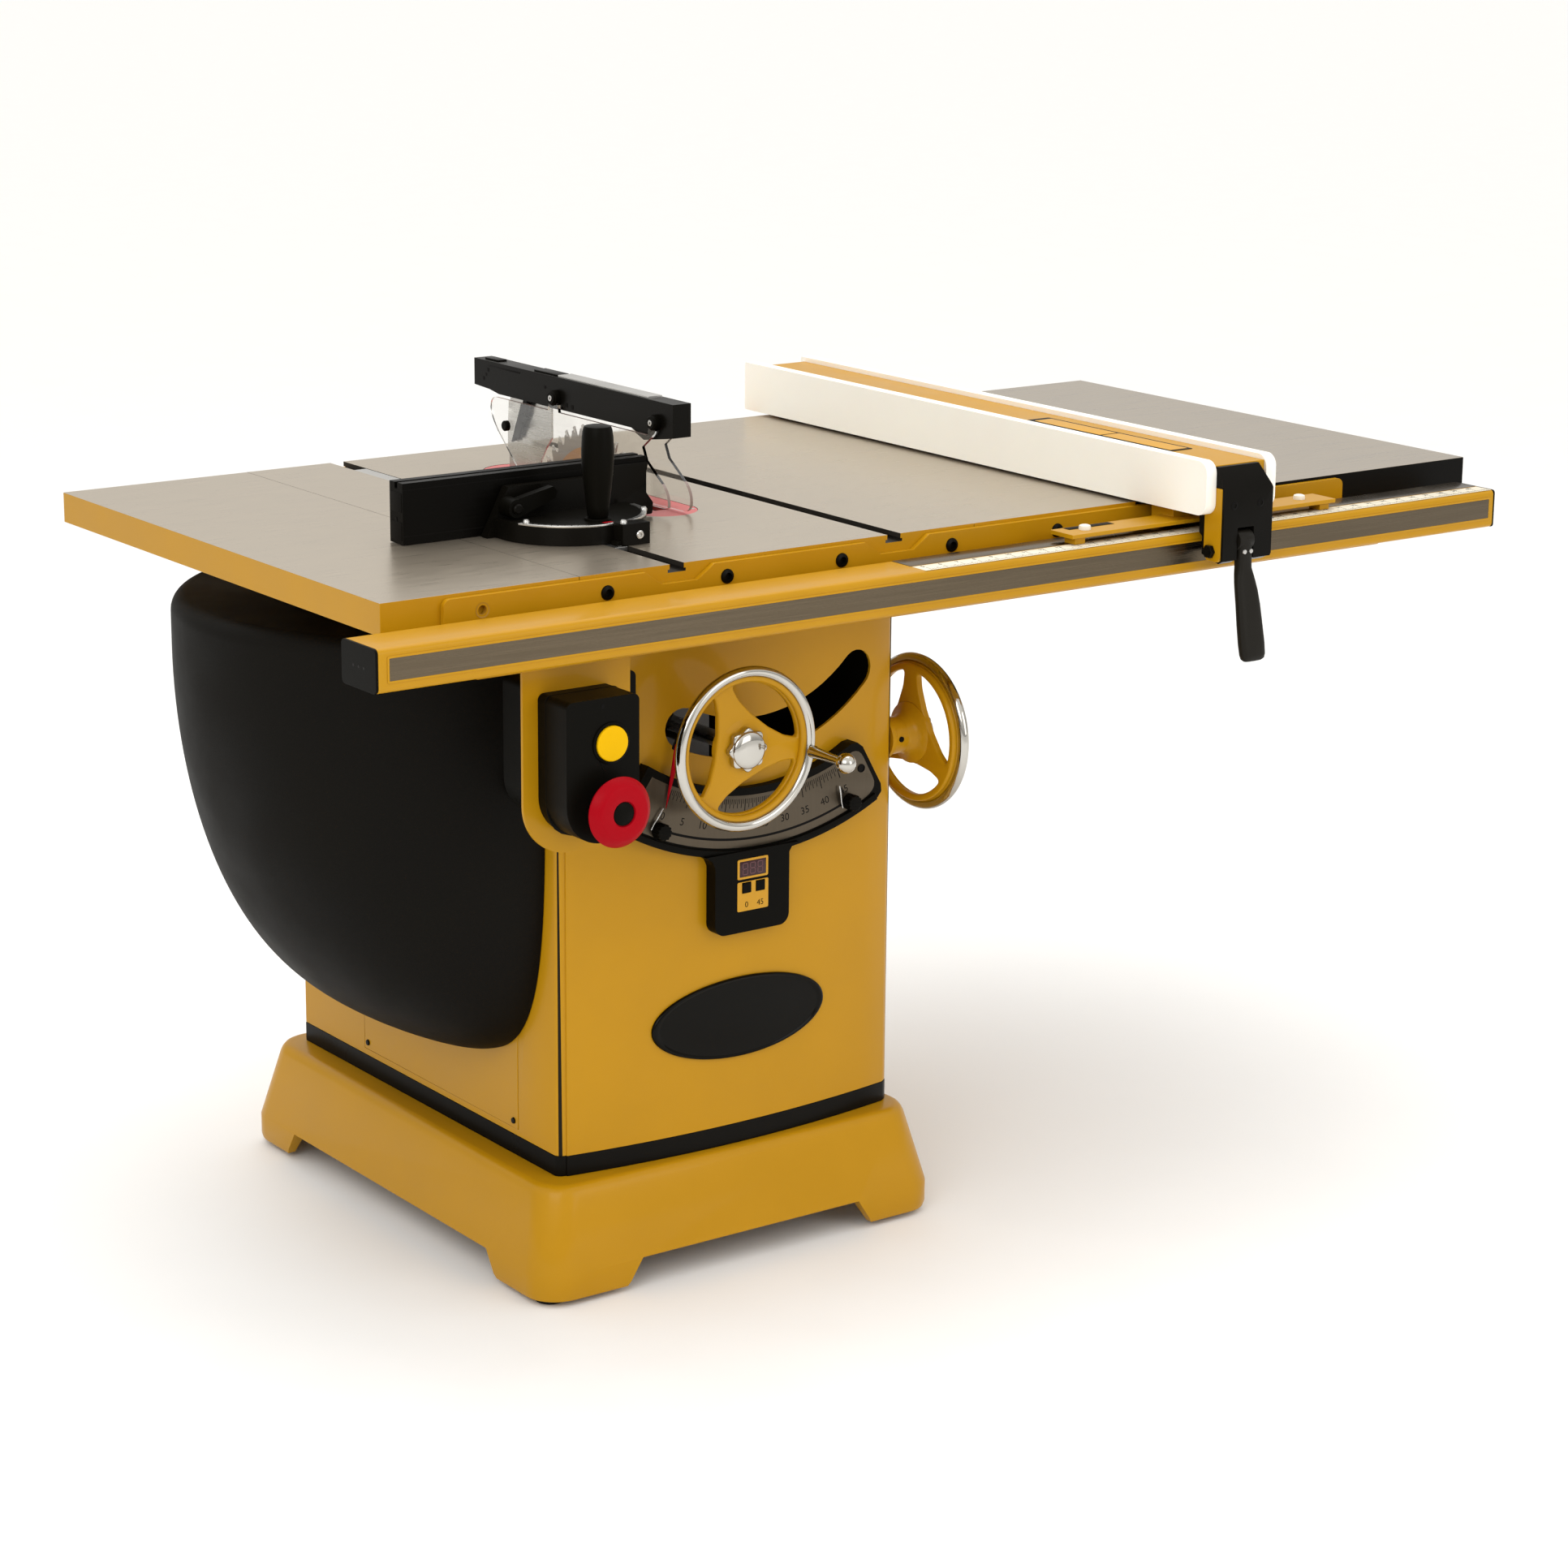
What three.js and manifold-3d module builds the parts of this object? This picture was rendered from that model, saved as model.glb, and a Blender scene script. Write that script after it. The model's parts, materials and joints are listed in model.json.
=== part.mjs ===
// Left-tilting cabinet table saw: cast-iron table with wings, extension table, T-square rip fence,
// miter gauge, blade guard, tilting cradle with a lifting arbor carriage, motor and motor cover.
// Millimetres, +X to the right along the fence rail, +Y to the back, +Z up, floor at Z = 0.
// The dimensions below are laid out from the front left corner of the cast-iron table, and the
// whole group is then shifted so that the origin is under the middle of the machine.
import * as THREE from "three";
import { mergeVertices } from "three/addons/utils/BufferGeometryUtils.js";
import Module from "manifold-3d";

const wasm = await Module();
wasm.setup();

// ---------------------------------------------------------------- driving dimensions
const GAP = 0.3; // clearance between touching pieces
const TOP = 874; // height of the table surface
const DEPTH = 775; // table, front to back
const CAST_WIDTH = 1066; // main table and both wings
const WING_WIDTH = 254;
const EXT_RIGHT = 1634; // right end of the extension table
const EDGE = 37; // table edge height
const PLATE = 18; // main table plate
const SLOT_X = [384, 692]; // miter slots
const SLOT_WIDTH = 19.4;
const SLOT_DEPTH = 9.5;

const CAB = { left: 270, right: 757, back: 682, side: 78, bow: 56.5, bottom: 164.3, top: 836.7, wall: 4 };
const BASE = { left: 214, right: 794, front: 20, back: 738, foot: 8, top: 138.9 };

const PIVOT_X = 536; // tilt axis, along Y at the table surface
const BLADE_X = 545;
const BLADE_R = 127;
const ARBOR_Y = 417;
const ARBOR_Z = 831;
const MOTOR = { y: 430, z: 640, r: 84, left: 145, right: 425 };
const WHEEL_R = 90; // handwheel rim centre line
const RIM_R = 8;
const SHAFT_ORBIT = 234; // height handwheel shaft, from the tilt axis
const SHAFT_ANGLE = -17.4; // degrees from straight down
const TILT_WHEEL = { x: 815, y: 106, z: 597, turn: -22 };

const RAIL = { left: -61, right: 1586, front: -101, back: -29, bottom: 802, top: 850.5 };
const FENCE = { left: 1056, right: 1168, board: 15.8, front: -137.5, back: 815, bottom: 877.5, top: 943.5 };
const LEVER_PIN = { y: -145, z: 846 }; // pin of the fence's cam lever
const GRIP_Y = 165; // upright grip of the miter gauge
const CLAMP = { px: 308, pz: 910 }; // clamp lever's pivot
const MITER = { x: 384, y: 226, r: 92, top: 897, fence: 254.3 }; // y is its swivel axis

const ORIGIN_X = 784.85; // middle of the machine's box
const ORIGIN_Y = 320.15;

const rad = THREE.MathUtils.degToRad;

// ---------------------------------------------------------------- paints and metals
const finish = (color, roughness, metalness) => ({ color, roughness, metalness });
const YELLOW = finish(0xc8942c, 0.35, 0.0);
const CAST = finish(0x8f8a84, 0.35, 0.9);
const STEEL = finish(0xa8a8a8, 0.3, 0.9);
const CHROME = finish(0xe6e6e6, 0.1, 1.0);
const BLACK = finish(0x151413, 0.5, 0.0);
const RUBBER = finish(0x0c0c0c, 0.8, 0.0);
const RED = finish(0xb5121b, 0.4, 0.0);
const START_YELLOW = finish(0xf2c80f, 0.4, 0.0);
const LAMINATE = finish(0x4a4440, 0.5, 0.0);
const WHITE = finish(0xf1ead9, 0.5, 0.0);
const CLEAR = finish(0xdfe6ea, 0.1, 0.0);
const GREY = finish(0x77716a, 0.4, 0.3);

// ---------------------------------------------------------------- solid tools
function solid(geometry) {
  const bare = geometry.clone();
  bare.deleteAttribute("normal");
  bare.deleteAttribute("uv");
  const merged = mergeVertices(bare, 1e-4);
  return new wasm.Manifold(
    new wasm.Mesh({
      numProp: 3,
      vertProperties: new Float32Array(merged.attributes.position.array),
      triVerts: new Uint32Array(merged.index.array),
    })
  );
}

function toGeometry(body) {
  const mesh = body.getMesh();
  const geometry = new THREE.BufferGeometry();
  geometry.setAttribute("position", new THREE.BufferAttribute(new Float32Array(mesh.vertProperties), 3));
  geometry.setIndex(new THREE.BufferAttribute(new Uint32Array(mesh.triVerts), 1));
  geometry.computeVertexNormals();
  return geometry;
}

const join = (...bodies) => bodies.reduce((a, b) => a.add(b));
const cut = (body, ...tools) => tools.reduce((a, b) => a.subtract(b), body);

// a block between two corners
function block(x0, x1, y0, y1, z0, z1) {
  const g = new THREE.BoxGeometry(x1 - x0, y1 - y0, z1 - z0);
  g.translate((x0 + x1) / 2, (y0 + y1) / 2, (z0 + z1) / 2);
  return solid(g);
}

// matrices that stand a drawing (a, b) with its depth c along one axis
const ALONG = {
  x: new THREE.Matrix4().set(0, 0, 1, 0, 1, 0, 0, 0, 0, 1, 0, 0, 0, 0, 0, 1), // (y, z) drawing
  y: new THREE.Matrix4().set(1, 0, 0, 0, 0, 0, -1, 0, 0, 1, 0, 0, 0, 0, 0, 1), // (x, z) drawing
  z: new THREE.Matrix4(), // (x, y) drawing
};

// a drawing extruded from one coordinate to another along an axis
function slab(shape, axis, from, to, curveSegments = 6) {
  const g = new THREE.ExtrudeGeometry(shape, { depth: to - from, bevelEnabled: false, curveSegments });
  g.applyMatrix4(ALONG[axis]);
  const start = axis === "y" ? to : from;
  const move = { x: [start, 0, 0], y: [0, start, 0], z: [0, 0, start] }[axis];
  g.translate(...move);
  return solid(g);
}

// a round bar along an axis: centre in the other two axes, in X, Y, Z order
function bar(axis, a, b, from, to, r0, r1 = r0, sides = 20) {
  const g = new THREE.CylinderGeometry(r1, r0, to - from, sides);
  g.translate(0, (from + to) / 2, 0);
  if (axis === "x") g.rotateZ(-Math.PI / 2).translate(0, a, b);
  if (axis === "y") g.translate(a, 0, b);
  if (axis === "z") g.rotateX(Math.PI / 2).translate(a, b, 0);
  return solid(g);
}

function polygon(points) {
  return new THREE.Shape(points.map(([a, b]) => new THREE.Vector2(a, b)));
}

// a rectangle with rounded corners; radii in the order lower left, lower right, upper right, upper left
function roundRect(a0, a1, b0, b1, radii) {
  const [ll, lr, ur, ul] = Array.isArray(radii) ? radii : [radii, radii, radii, radii];
  const s = new THREE.Shape();
  const quarter = Math.PI / 2;
  s.moveTo(a0 + ll, b0);
  s.lineTo(a1 - lr, b0);
  if (lr) s.absarc(a1 - lr, b0 + lr, lr, -quarter, 0, false);
  s.lineTo(a1, b1 - ur);
  if (ur) s.absarc(a1 - ur, b1 - ur, ur, 0, quarter, false);
  s.lineTo(a0 + ul, b1);
  if (ul) s.absarc(a0 + ul, b1 - ul, ul, quarter, 2 * quarter, false);
  s.lineTo(a0, b0 + ll);
  if (ll) s.absarc(a0 + ll, b0 + ll, ll, 2 * quarter, 3 * quarter, false);
  return s;
}

// a ring sector about the tilt axis, angles in degrees from straight down, positive to the right
function sector(r0, r1, a0, a1, steps = 16) {
  const at = (r, a) => [PIVOT_X + r * Math.sin(rad(a)), TOP - r * Math.cos(rad(a))];
  const angle = (i) => a0 + ((a1 - a0) * i) / steps;
  const points = [];
  for (let i = 0; i <= steps; i++) points.push(at(r1, angle(i)));
  for (let i = steps; i >= 0; i--) points.push(at(r0, angle(i)));
  return polygon(points);
}

// a point on a circle about the tilt axis
function aboutPivot(r, degrees) {
  return { x: PIVOT_X + r * Math.sin(rad(degrees)), z: TOP - r * Math.cos(rad(degrees)) };
}

// a closed body through a stack of rings of equal length, each ring counter-clockwise from above
function loft(rings) {
  const count = rings[0].length;
  const position = rings.flat(2);
  const index = [];
  for (let k = 0; k + 1 < rings.length; k++) {
    for (let i = 0; i < count; i++) {
      const j = (i + 1) % count;
      const low = k * count;
      const high = low + count;
      index.push(low + i, low + j, high + j, low + i, high + j, high + i);
    }
  }
  const last = (rings.length - 1) * count;
  for (let i = 1; i + 1 < count; i++) {
    index.push(0, i + 1, i);
    index.push(last, last + i, last + i + 1);
  }
  const g = new THREE.BufferGeometry();
  g.setAttribute("position", new THREE.Float32BufferAttribute(position, 3));
  g.setIndex(index);
  return solid(g);
}

const group = new THREE.Group();
group.position.set(-ORIGIN_X, -ORIGIN_Y, 0);

function part(name, body, look) {
  const mesh = new THREE.Mesh(toGeometry(body), new THREE.MeshStandardMaterial(look));
  mesh.name = name;
  group.add(mesh);
}

// ---------------------------------------------------------------- cabinet and base
// plan outline of the cabinet: flat sides and back, front bowed outwards
function cabinetPlan(inset) {
  const half = (CAB.right - CAB.left) / 2;
  const middle = (CAB.right + CAB.left) / 2;
  const rise = CAB.side - CAB.bow;
  const bowR = (half * half + rise * rise) / (2 * rise);
  const corner = 12;
  const points = [];
  const frontAt = (x) => CAB.bow + bowR - Math.sqrt(bowR * bowR - (x - middle) ** 2) + inset;
  const left = CAB.left + inset;
  const right = CAB.right - inset;
  const steps = 12;
  for (let i = 0; i <= steps; i++) {
    const x = left + corner + ((right - left - 2 * corner) * i) / steps;
    points.push([x, frontAt(x)]);
  }
  for (let i = 1; i <= 4; i++) {
    const a = rad(22.5 * i);
    points.push([right - corner * (1 - Math.sin(a)), frontAt(right) + corner * (1 - Math.cos(a))]);
  }
  points.push([right, CAB.back - inset]);
  points.push([left, CAB.back - inset]);
  for (let i = 1; i <= 4; i++) {
    const a = rad(22.5 * i);
    points.push([left + corner * (1 - Math.cos(a)), frontAt(left) + corner * (1 - Math.sin(a))]);
  }
  return polygon(points);
}

const SLOT_HALF = 24; // half width of the arc slot in the front
const slotStart = -26; // its rounded ends, degrees from straight down
const slotEnd = 41.4;

function arcSlot(y0, y1) {
  const ends = [slotStart, slotEnd].map((a) => {
    const p = aboutPivot(SHAFT_ORBIT, a);
    return bar("y", p.x, p.z, y0, y1, SLOT_HALF);
  });
  const ring = slab(sector(SHAFT_ORBIT - SLOT_HALF, SHAFT_ORBIT + SLOT_HALF, slotStart, slotEnd), "y", y0, y1);
  return join(ring, ...ends);
}

const PANEL = { y0: 165, y1: 530, z0: 172, z1: 300 }; // removable panel in the left wall
const MOTOR_OPENING = { y0: 150, y1: 640, z0: 312, z1: 780 };
const PORT = { x: 400, z: 256, r: 50 }; // dust port in the back

function cabinet() {
  const walls = slab(cabinetPlan(0), "z", CAB.bottom, CAB.top);
  const inside = slab(cabinetPlan(CAB.wall), "z", CAB.bottom - 1, CAB.top + 1);
  const { left, wall, right, back } = CAB;
  const throughLeft = (o) => block(left - 5, left + wall + 5, o.y0, o.y1, o.z0, o.z1);
  return cut(
    walls,
    inside,
    arcSlot(40, 110),
    throughLeft(PANEL),
    throughLeft(MOTOR_OPENING),
    bar("x", TILT_WHEEL.y, TILT_WHEEL.z, right - 10, right + 10, 17),
    bar("y", PORT.x, PORT.z, back - 10, back + 10, PORT.r - 4)
  );
}

// level ring round the base, grown outwards from its foot outline
function baseRing(z, grow, corner) {
  const points = [];
  const centres = [
    [BASE.left - grow + corner, BASE.front - grow + corner, 180],
    [BASE.right + grow - corner, BASE.front - grow + corner, 270],
    [BASE.right + grow - corner, BASE.back + grow - corner, 0],
    [BASE.left - grow + corner, BASE.back + grow - corner, 90],
  ];
  for (const [x, y, start] of centres) {
    for (let i = 0; i <= 9; i++) {
      const a = rad(start + 10 * i);
      points.push([x + corner * Math.cos(a), y + corner * Math.sin(a), z]);
    }
  }
  return points;
}

function base() {
  const { foot, top } = BASE;
  const outer = loft([
    baseRing(foot, -2, 40),
    baseRing(foot + 6, 0, 42),
    baseRing(foot + 32, 0, 42),
    baseRing(top - 12, -20, 42),
    baseRing(top - 6.5, -22, 42),
    baseRing(top - 2.5, -25, 40),
    baseRing(top - 0.6, -28.5, 38),
    baseRing(top, -33, 34),
  ]);
  const wall = 12;
  const inner = loft([baseRing(foot - 1, -wall, 30), baseRing(top - 16, -20 - wall, 30)]);
  const mouth = block(290, 737, 104, 662, top - 30, top + 5);
  // the leg cut-outs between the corner feet, front to back and side to side
  const low = foot - 2;
  const high = 40;
  const leg = { x0: 330, x1: 692, y0: 128, y1: 640, slant: 22 };
  const arch = (a0, a1) => polygon([[a0, low], [a1, low], [a1 - leg.slant, high], [a0 + leg.slant, high]]);
  return cut(
    outer,
    inner,
    mouth,
    slab(arch(leg.x0, leg.x1), "y", 0, 760),
    slab(arch(leg.y0, leg.y1), "x", 190, 820)
  );
}

// moulded motor cover: half round in plan, quarter round from below
const COVER = { reach: 286, low: 250, knee: 728, top: 792, front: 100, back: 678, wall: 5, x: CAB.left - GAP };

function coverBody(inset, past) {
  const levels = 15;
  const around = 28;
  const middle = (COVER.front + COVER.back) / 2;
  const half = (COVER.back - COVER.front) / 2 - inset;
  const reach = COVER.reach - inset;
  const low = COVER.low + inset;
  const rings = [];
  const ring = (depth, width, z) => {
    const points = [];
    for (let i = 0; i <= around; i++) {
      const a = (Math.PI * i) / around;
      points.push([COVER.x - depth * Math.sin(a) ** 0.95, middle + half * width * Math.cos(a), z]);
    }
    if (past) {
      points.push([COVER.x + past, middle - half * width, z]);
      points.push([COVER.x + past, middle + half * width, z]);
    }
    return points;
  };
  for (let k = 0; k < levels; k++) {
    const t = Math.cos((Math.PI / 2) * (k / levels)); // 1 at the bottom, 0 at the knee
    const depth = (1 - Math.min(t, 0.992) ** 1.95) ** (1 / 1.95);
    const width = (1 - Math.min(t, 0.992) ** 4.5) ** (1 / 4.5);
    rings.push(ring(reach * depth, width, COVER.knee - t * (COVER.knee - low)));
  }
  rings.push(ring(reach, 1, COVER.knee));
  rings.push(ring(reach, 1, COVER.top - 18 - inset));
  rings.push(ring(reach - 7, 0.985, COVER.top - 5 - inset));
  rings.push(ring(reach - 20, 0.95, COVER.top - inset));
  return loft(rings);
}

part("base_casting", base(), YELLOW);
const FEET = {
  foot_front_left: [245, 57],
  foot_front_right: [763, 57],
  foot_rear_left: [245, 701],
  foot_rear_right: [763, 701],
};
for (const [name, [x, y]] of Object.entries(FEET)) {
  // a rubber pad under the corner with a threaded stud up into the hollow casting
  part(name, join(bar("z", x, y, 0, BASE.foot - GAP, 18, 16), bar("z", x, y, 4, 56, 5)), RUBBER);
}
const bandOuter = slab(cabinetPlan(-0.4), "z", BASE.top + GAP, CAB.bottom - GAP);
part("plinth_band", cut(bandOuter, slab(cabinetPlan(16), "z", 130, 170)), BLACK);
part("cabinet_shell", cabinet(), YELLOW);
{
  const { y0, y1, z0, z1 } = PANEL;
  const x = CAB.left;
  part("side_panel", block(x, x + 3, y0 + 0.5, y1 - 0.5, z0 + 0.5, z1 - 0.5), YELLOW);
}
{
  const { x, z, r } = PORT;
  const y = CAB.back + GAP;
  const flange = bar("y", x, z, y, y + 4, r + 14, r + 14, 28);
  const pipe = bar("y", x, z, y, y + 55, r, r, 28);
  part("dust_port", cut(join(flange, pipe), bar("y", x, z, y - 5, y + 60, r - 3, r - 3, 28)), BLACK);
}
part("motor_cover", cut(coverBody(0, 0), coverBody(COVER.wall, 2)), BLACK);
{
  // quarter-turn latch on the cover's front edge
  const y = COVER.front + 2;
  const knob = bar("y", 238, 620, y - 13, y - 2, 20, 22, 24);
  part("cover_latch", join(knob, block(234, 242, y - 20, y - 10, 602, 638)), BLACK);
}

// ---------------------------------------------------------------- table
const INSERT = { x: 550, half: 46, y0: 233, y1: 645, thick: 7 };

// a plan shape with half-round ends, along Y
function stadium(x, half, y0, y1) {
  return roundRect(x - half, x + half, y0, y1, half);
}

function miterSlot(x) {
  const half = SLOT_WIDTH / 2;
  const toe = 12.2;
  const top = block(x - half, x + half, -5, DEPTH + 5, TOP - SLOT_DEPTH, TOP + 1);
  return join(top, block(x - toe, x + toe, -5, DEPTH + 5, TOP - SLOT_DEPTH, TOP - SLOT_DEPTH + 3.6));
}

// plate with a rim round its edge, hollow underneath
function ribbedPlate(x0, x1, plate, rim) {
  const low = TOP - EDGE;
  const body = block(x0, x1, 0, DEPTH, low, TOP);
  return cut(body, block(x0 + rim, x1 - rim, rim, DEPTH - rim, low - 1, TOP - plate));
}

const MAIN_LEFT = WING_WIDTH;
const MAIN_RIGHT = CAST_WIDTH - WING_WIDTH;
{
  const { x, half, y0, y1, thick } = INSERT;
  const ledge = 5;
  const ribs = [
    block(MAIN_LEFT + 12, MAIN_LEFT + 36, 8, DEPTH - 8, CAB.top + GAP, TOP - PLATE + 1),
    block(744, 768, 8, DEPTH - 8, CAB.top + GAP, TOP - PLATE + 1),
  ];
  const plate = join(ribbedPlate(MAIN_LEFT, MAIN_RIGHT, PLATE, 11), ...ribs);
  part(
    "table_main",
    cut(
      plate,
      ...SLOT_X.map(miterSlot),
      slab(stadium(x, half, y0, y1), "z", TOP - thick - GAP, TOP + 1, 5),
      slab(stadium(x, half - ledge, y0 + ledge, y1 - ledge), "z", TOP - EDGE - 2, TOP, 5)
    ),
    CAST
  );
  // the insert is relieved underneath where the washers come up at full tilt
  const disc = slab(stadium(x, half - GAP, y0 + GAP, y1 - GAP), "z", TOP - thick, TOP - GAP, 5);
  const slot = block(BLADE_X - 4, BLADE_X + 17, 276, 624, TOP - 10, TOP + 1);
  const relief = block(BLADE_X - 14, BLADE_X + 36, ARBOR_Y - 60, ARBOR_Y + 60, TOP - 10, TOP - 3.3);
  part("throat_insert", cut(disc, slot, relief), RED);
}
for (const [name, x0] of [["wing_left", 0], ["wing_right", MAIN_RIGHT + GAP]]) {
  const x1 = x0 + WING_WIDTH - GAP;
  const middle = (x0 + x1) / 2;
  const ribs = [DEPTH / 3, (2 * DEPTH) / 3].map((y) => block(x0 + 5, x1 - 5, y - 5, y + 5, TOP - 30, TOP - 10));
  const spine = block(middle - 5, middle + 5, 5, DEPTH - 5, TOP - 30, TOP - 10);
  part(name, join(ribbedPlate(x0, x1, 14, 11), spine, ...ribs), CAST);
}
part("extension_table", block(CAST_WIDTH + GAP, EXT_RIGHT, 0, DEPTH, TOP - 36, TOP), LAMINATE);

// ---------------------------------------------------------------- rails
const BRACKET = { left: 74.6, right: 1409, top: 870, bottom: 795.4, thick: 7, boltZ: 853.3, pitch: 162.3, first: 123.6 };
{
  const { left, right, top, bottom, thick, boltZ, pitch, first } = BRACKET;
  // the front leg drops under each miter slot so that the miter bar can pass
  const s = new THREE.Shape();
  const corner = 9;
  const dip = { wide: 47, narrow: 24, z: 854 };
  s.moveTo(left, bottom);
  s.lineTo(right, bottom);
  s.lineTo(right, top - corner);
  s.absarc(right - corner, top - corner, corner, 0, Math.PI / 2, false);
  for (const x of [...SLOT_X].reverse()) {
    s.lineTo(x + dip.wide, top);
    s.lineTo(x + dip.narrow, dip.z);
    s.lineTo(x - dip.narrow, dip.z);
    s.lineTo(x - dip.wide, top);
  }
  s.lineTo(left + corner, top);
  s.absarc(left + corner, top - corner, corner, Math.PI / 2, Math.PI, false);
  const upright = slab(s, "y", -thick - GAP, -GAP, 4);
  const shelf = block(left, right, RAIL.front + 26, -GAP, bottom, RAIL.bottom - GAP);
  const holes = [];
  for (let i = 0; i < 8; i++) holes.push(bar("y", first + i * pitch, boltZ, -20, 10, 5.5, 5.5, 12));
  part("front_rail_angle", cut(join(upright, shelf), ...holes), YELLOW);

  const y0 = DEPTH + GAP;
  const rearUpright = block(left, EXT_RIGHT - 14, y0, y0 + 6, TOP - EDGE + 1, TOP - 16);
  const rearShelf = block(left, EXT_RIGHT - 14, y0, y0 + 45, TOP - 22, TOP - 16);
  part("rear_rail", join(rearUpright, rearShelf), YELLOW);
}
{
  const { left, right, front, back, bottom, top } = RAIL;
  const wall = 4;
  const outer = slab(roundRect(front, back, bottom, top, 6), "x", left, right, 3);
  const hollow = roundRect(front + wall, back - wall, bottom + wall, top - wall, 2);
  part("fence_rail", cut(outer, slab(hollow, "x", left - 1, right + 1, 2)), YELLOW);
  const cap = slab(roundRect(front, back, bottom, top, 6), "x", left - 3.3, left - GAP, 3);
  const plug = block(left - 1, left + 12, front + wall + 1, back - wall - 1, bottom + wall + 1, top - wall - 1);
  part("rail_cap_left", join(cap, plug), BLACK);
}

// ---------------------------------------------------------------- bevel scale and readout
const SCALE = { inner: 292, outer: 375, from: -33, to: 29.4, front: 46, stopR: 355, corner: 13 };
const POD = { left: 466, right: 573, bottom: 409, top: 507, front: 38.5 };
const SET_BUTTON = { size: 13, z: 463.4 };
const SET_X = [510.6, 530.4]; // the two set buttons of the readout

// a sector about the tilt axis with its two right-hand corners rounded
function scalePlate() {
  const { inner, outer, from, to, corner } = SCALE;
  const at = (r, deg) => {
    const p = aboutPivot(r, deg);
    return [p.x, p.z];
  };
  const ease = (r) => THREE.MathUtils.radToDeg(corner / r);
  const points = [];
  const arc = (r, a, b, steps) => {
    for (let i = 0; i <= steps; i++) points.push(at(r, a + ((b - a) * i) / steps));
  };
  arc(outer, from, to - ease(outer), 20);
  points.push(at(outer - corner * 0.3, to - ease(outer) * 0.3));
  points.push(at(outer - corner, to));
  points.push(at(inner + corner, to));
  points.push(at(inner + corner * 0.3, to - ease(inner) * 0.3));
  arc(inner, to - ease(inner), from, 20);
  return polygon(points);
}

{
  const plan = slab(cabinetPlan(-GAP), "z", 300, 830);
  const arc = slab(scalePlate(), "y", SCALE.front, 84);
  const { left, right, bottom, top, front } = POD;
  // the sides flare out where the readout joins the arc
  const flare = polygon([[left - 14, top + 1.5], [left - 4, top - 5], [left, top - 14], [left, top - 24],
    [right, top - 24], [right, top - 9], [right + 4, top - 3], [right + 14, top + 1]]);
  const pod = join(slab(roundRect(left, right, bottom, top - 14, [14, 14, 0, 0]), "y", front, 84, 4),
    slab(flare, "y", front, 84));
  const half = SET_BUTTON.size / 2;
  const button = (x, gap, y0, y1) =>
    block(x - half + gap, x + half - gap, y0, y1, SET_BUTTON.z - half + gap, SET_BUTTON.z + half - gap);
  const wells = SET_X.map((x) => button(x, 0, front - 6, front + 6));
  part("bevel_housing", cut(join(arc, pod), plan, ...wells), BLACK);
  for (const [name, x] of [["set_button_zero", SET_X[0]], ["set_button_full", SET_X[1]]]) {
    part(name, button(x, 0.4, front - 1.6, front + 3.6), BLACK);
  }
  for (const [name, angle] of [["bevel_stop_low", -24.2], ["bevel_stop_high", 21.4]]) {
    const p = aboutPivot(SCALE.stopR, angle);
    part(name, bar("y", p.x, p.z, SCALE.front - 14, SCALE.front - GAP, 9, 10, 16), BLACK);
  }
}

// ---------------------------------------------------------------- switch
const SWITCH = { y: -44, left: 170, right: 265, bottom: 598, top: 761, front: -102 };
{
  const { y, left, right, bottom, top, front } = SWITCH;
  const plate = slab(roundRect(150.6, 291.6, 575, BRACKET.bottom - GAP, [60, 60, 0, 0]), "y", y, y + 4, 8);
  const lip = block(150.6, 291.6, y, -6, BRACKET.bottom - GAP - 4, BRACKET.bottom - GAP);
  const window = block(left + 12, right - 12, y - 5, y + 9, bottom + 45, top - 12);
  part("switch_plate", cut(join(plate, lip), window), YELLOW);
  const face = slab(roundRect(left, right, bottom, top, [46, 46, 8, 8]), "y", front, y - GAP, 6);
  const rear = slab(roundRect(164, 302, 606, 770, [50, 50, 8, 8]), "y", y + 4 + GAP, 18, 6);
  const neck = block(left + 12.5, right - 12.5, y - 5, y + 9, bottom + 45.5, top - 12.5);
  const start = { x: 227.6, z: 709.5, r: 20 };
  const stop = { x: 224, z: 636.7, r: 40 };
  const bore = (b, r) => bar("y", b.x, b.z, front - 5, front + 16, r, r, 24);
  part("switch_box", cut(join(face, rear, neck), bore(start, start.r + 1), bore(stop, 13)), BLACK);
  part("start_button", bar("y", start.x, start.z, front - 5, front + 9, start.r, start.r, 28), START_YELLOW);
  const head = new THREE.LatheGeometry(
    [[0, 33], [14, 33], [26, 31], [36, 25], [40, 17], [39, 11], [30, 9], [12, 9], [12, -8], [0, -8]]
      .reverse()
      .map(([r, h]) => new THREE.Vector2(r, h)),
    28
  );
  head.rotateX(Math.PI).translate(stop.x, front, stop.z);
  part("stop_button", solid(head), RED);
}

// ---------------------------------------------------------------- handwheels
// wheel in the XZ plane, its face to -Y, centred on the origin
function wheel() {
  const rim = new THREE.TorusGeometry(WHEEL_R, RIM_R, 8, 36);
  rim.rotateX(Math.PI / 2);
  const hubProfile = [[0, 4], [34, 4], [38, 8], [38, 15], [28, 20], [22, 34], [0, 34]];
  const hub = new THREE.LatheGeometry(hubProfile.map(([r, h]) => new THREE.Vector2(r, h)), 24);
  const spokes = [-8, 112, 232].map((a) => {
    const arm = polygon([[20, -17], [52, -11], [WHEEL_R - 10, -14], [WHEEL_R + 1, -20], [WHEEL_R + 1, 20],
      [WHEEL_R - 10, 14], [52, 11], [20, 17]]);
    const turned = slab(arm, "y", 4, 13);
    return turned.rotate([0, -a, 0]);
  });
  return join(solid(rim), solid(hub), ...spokes);
}

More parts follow.
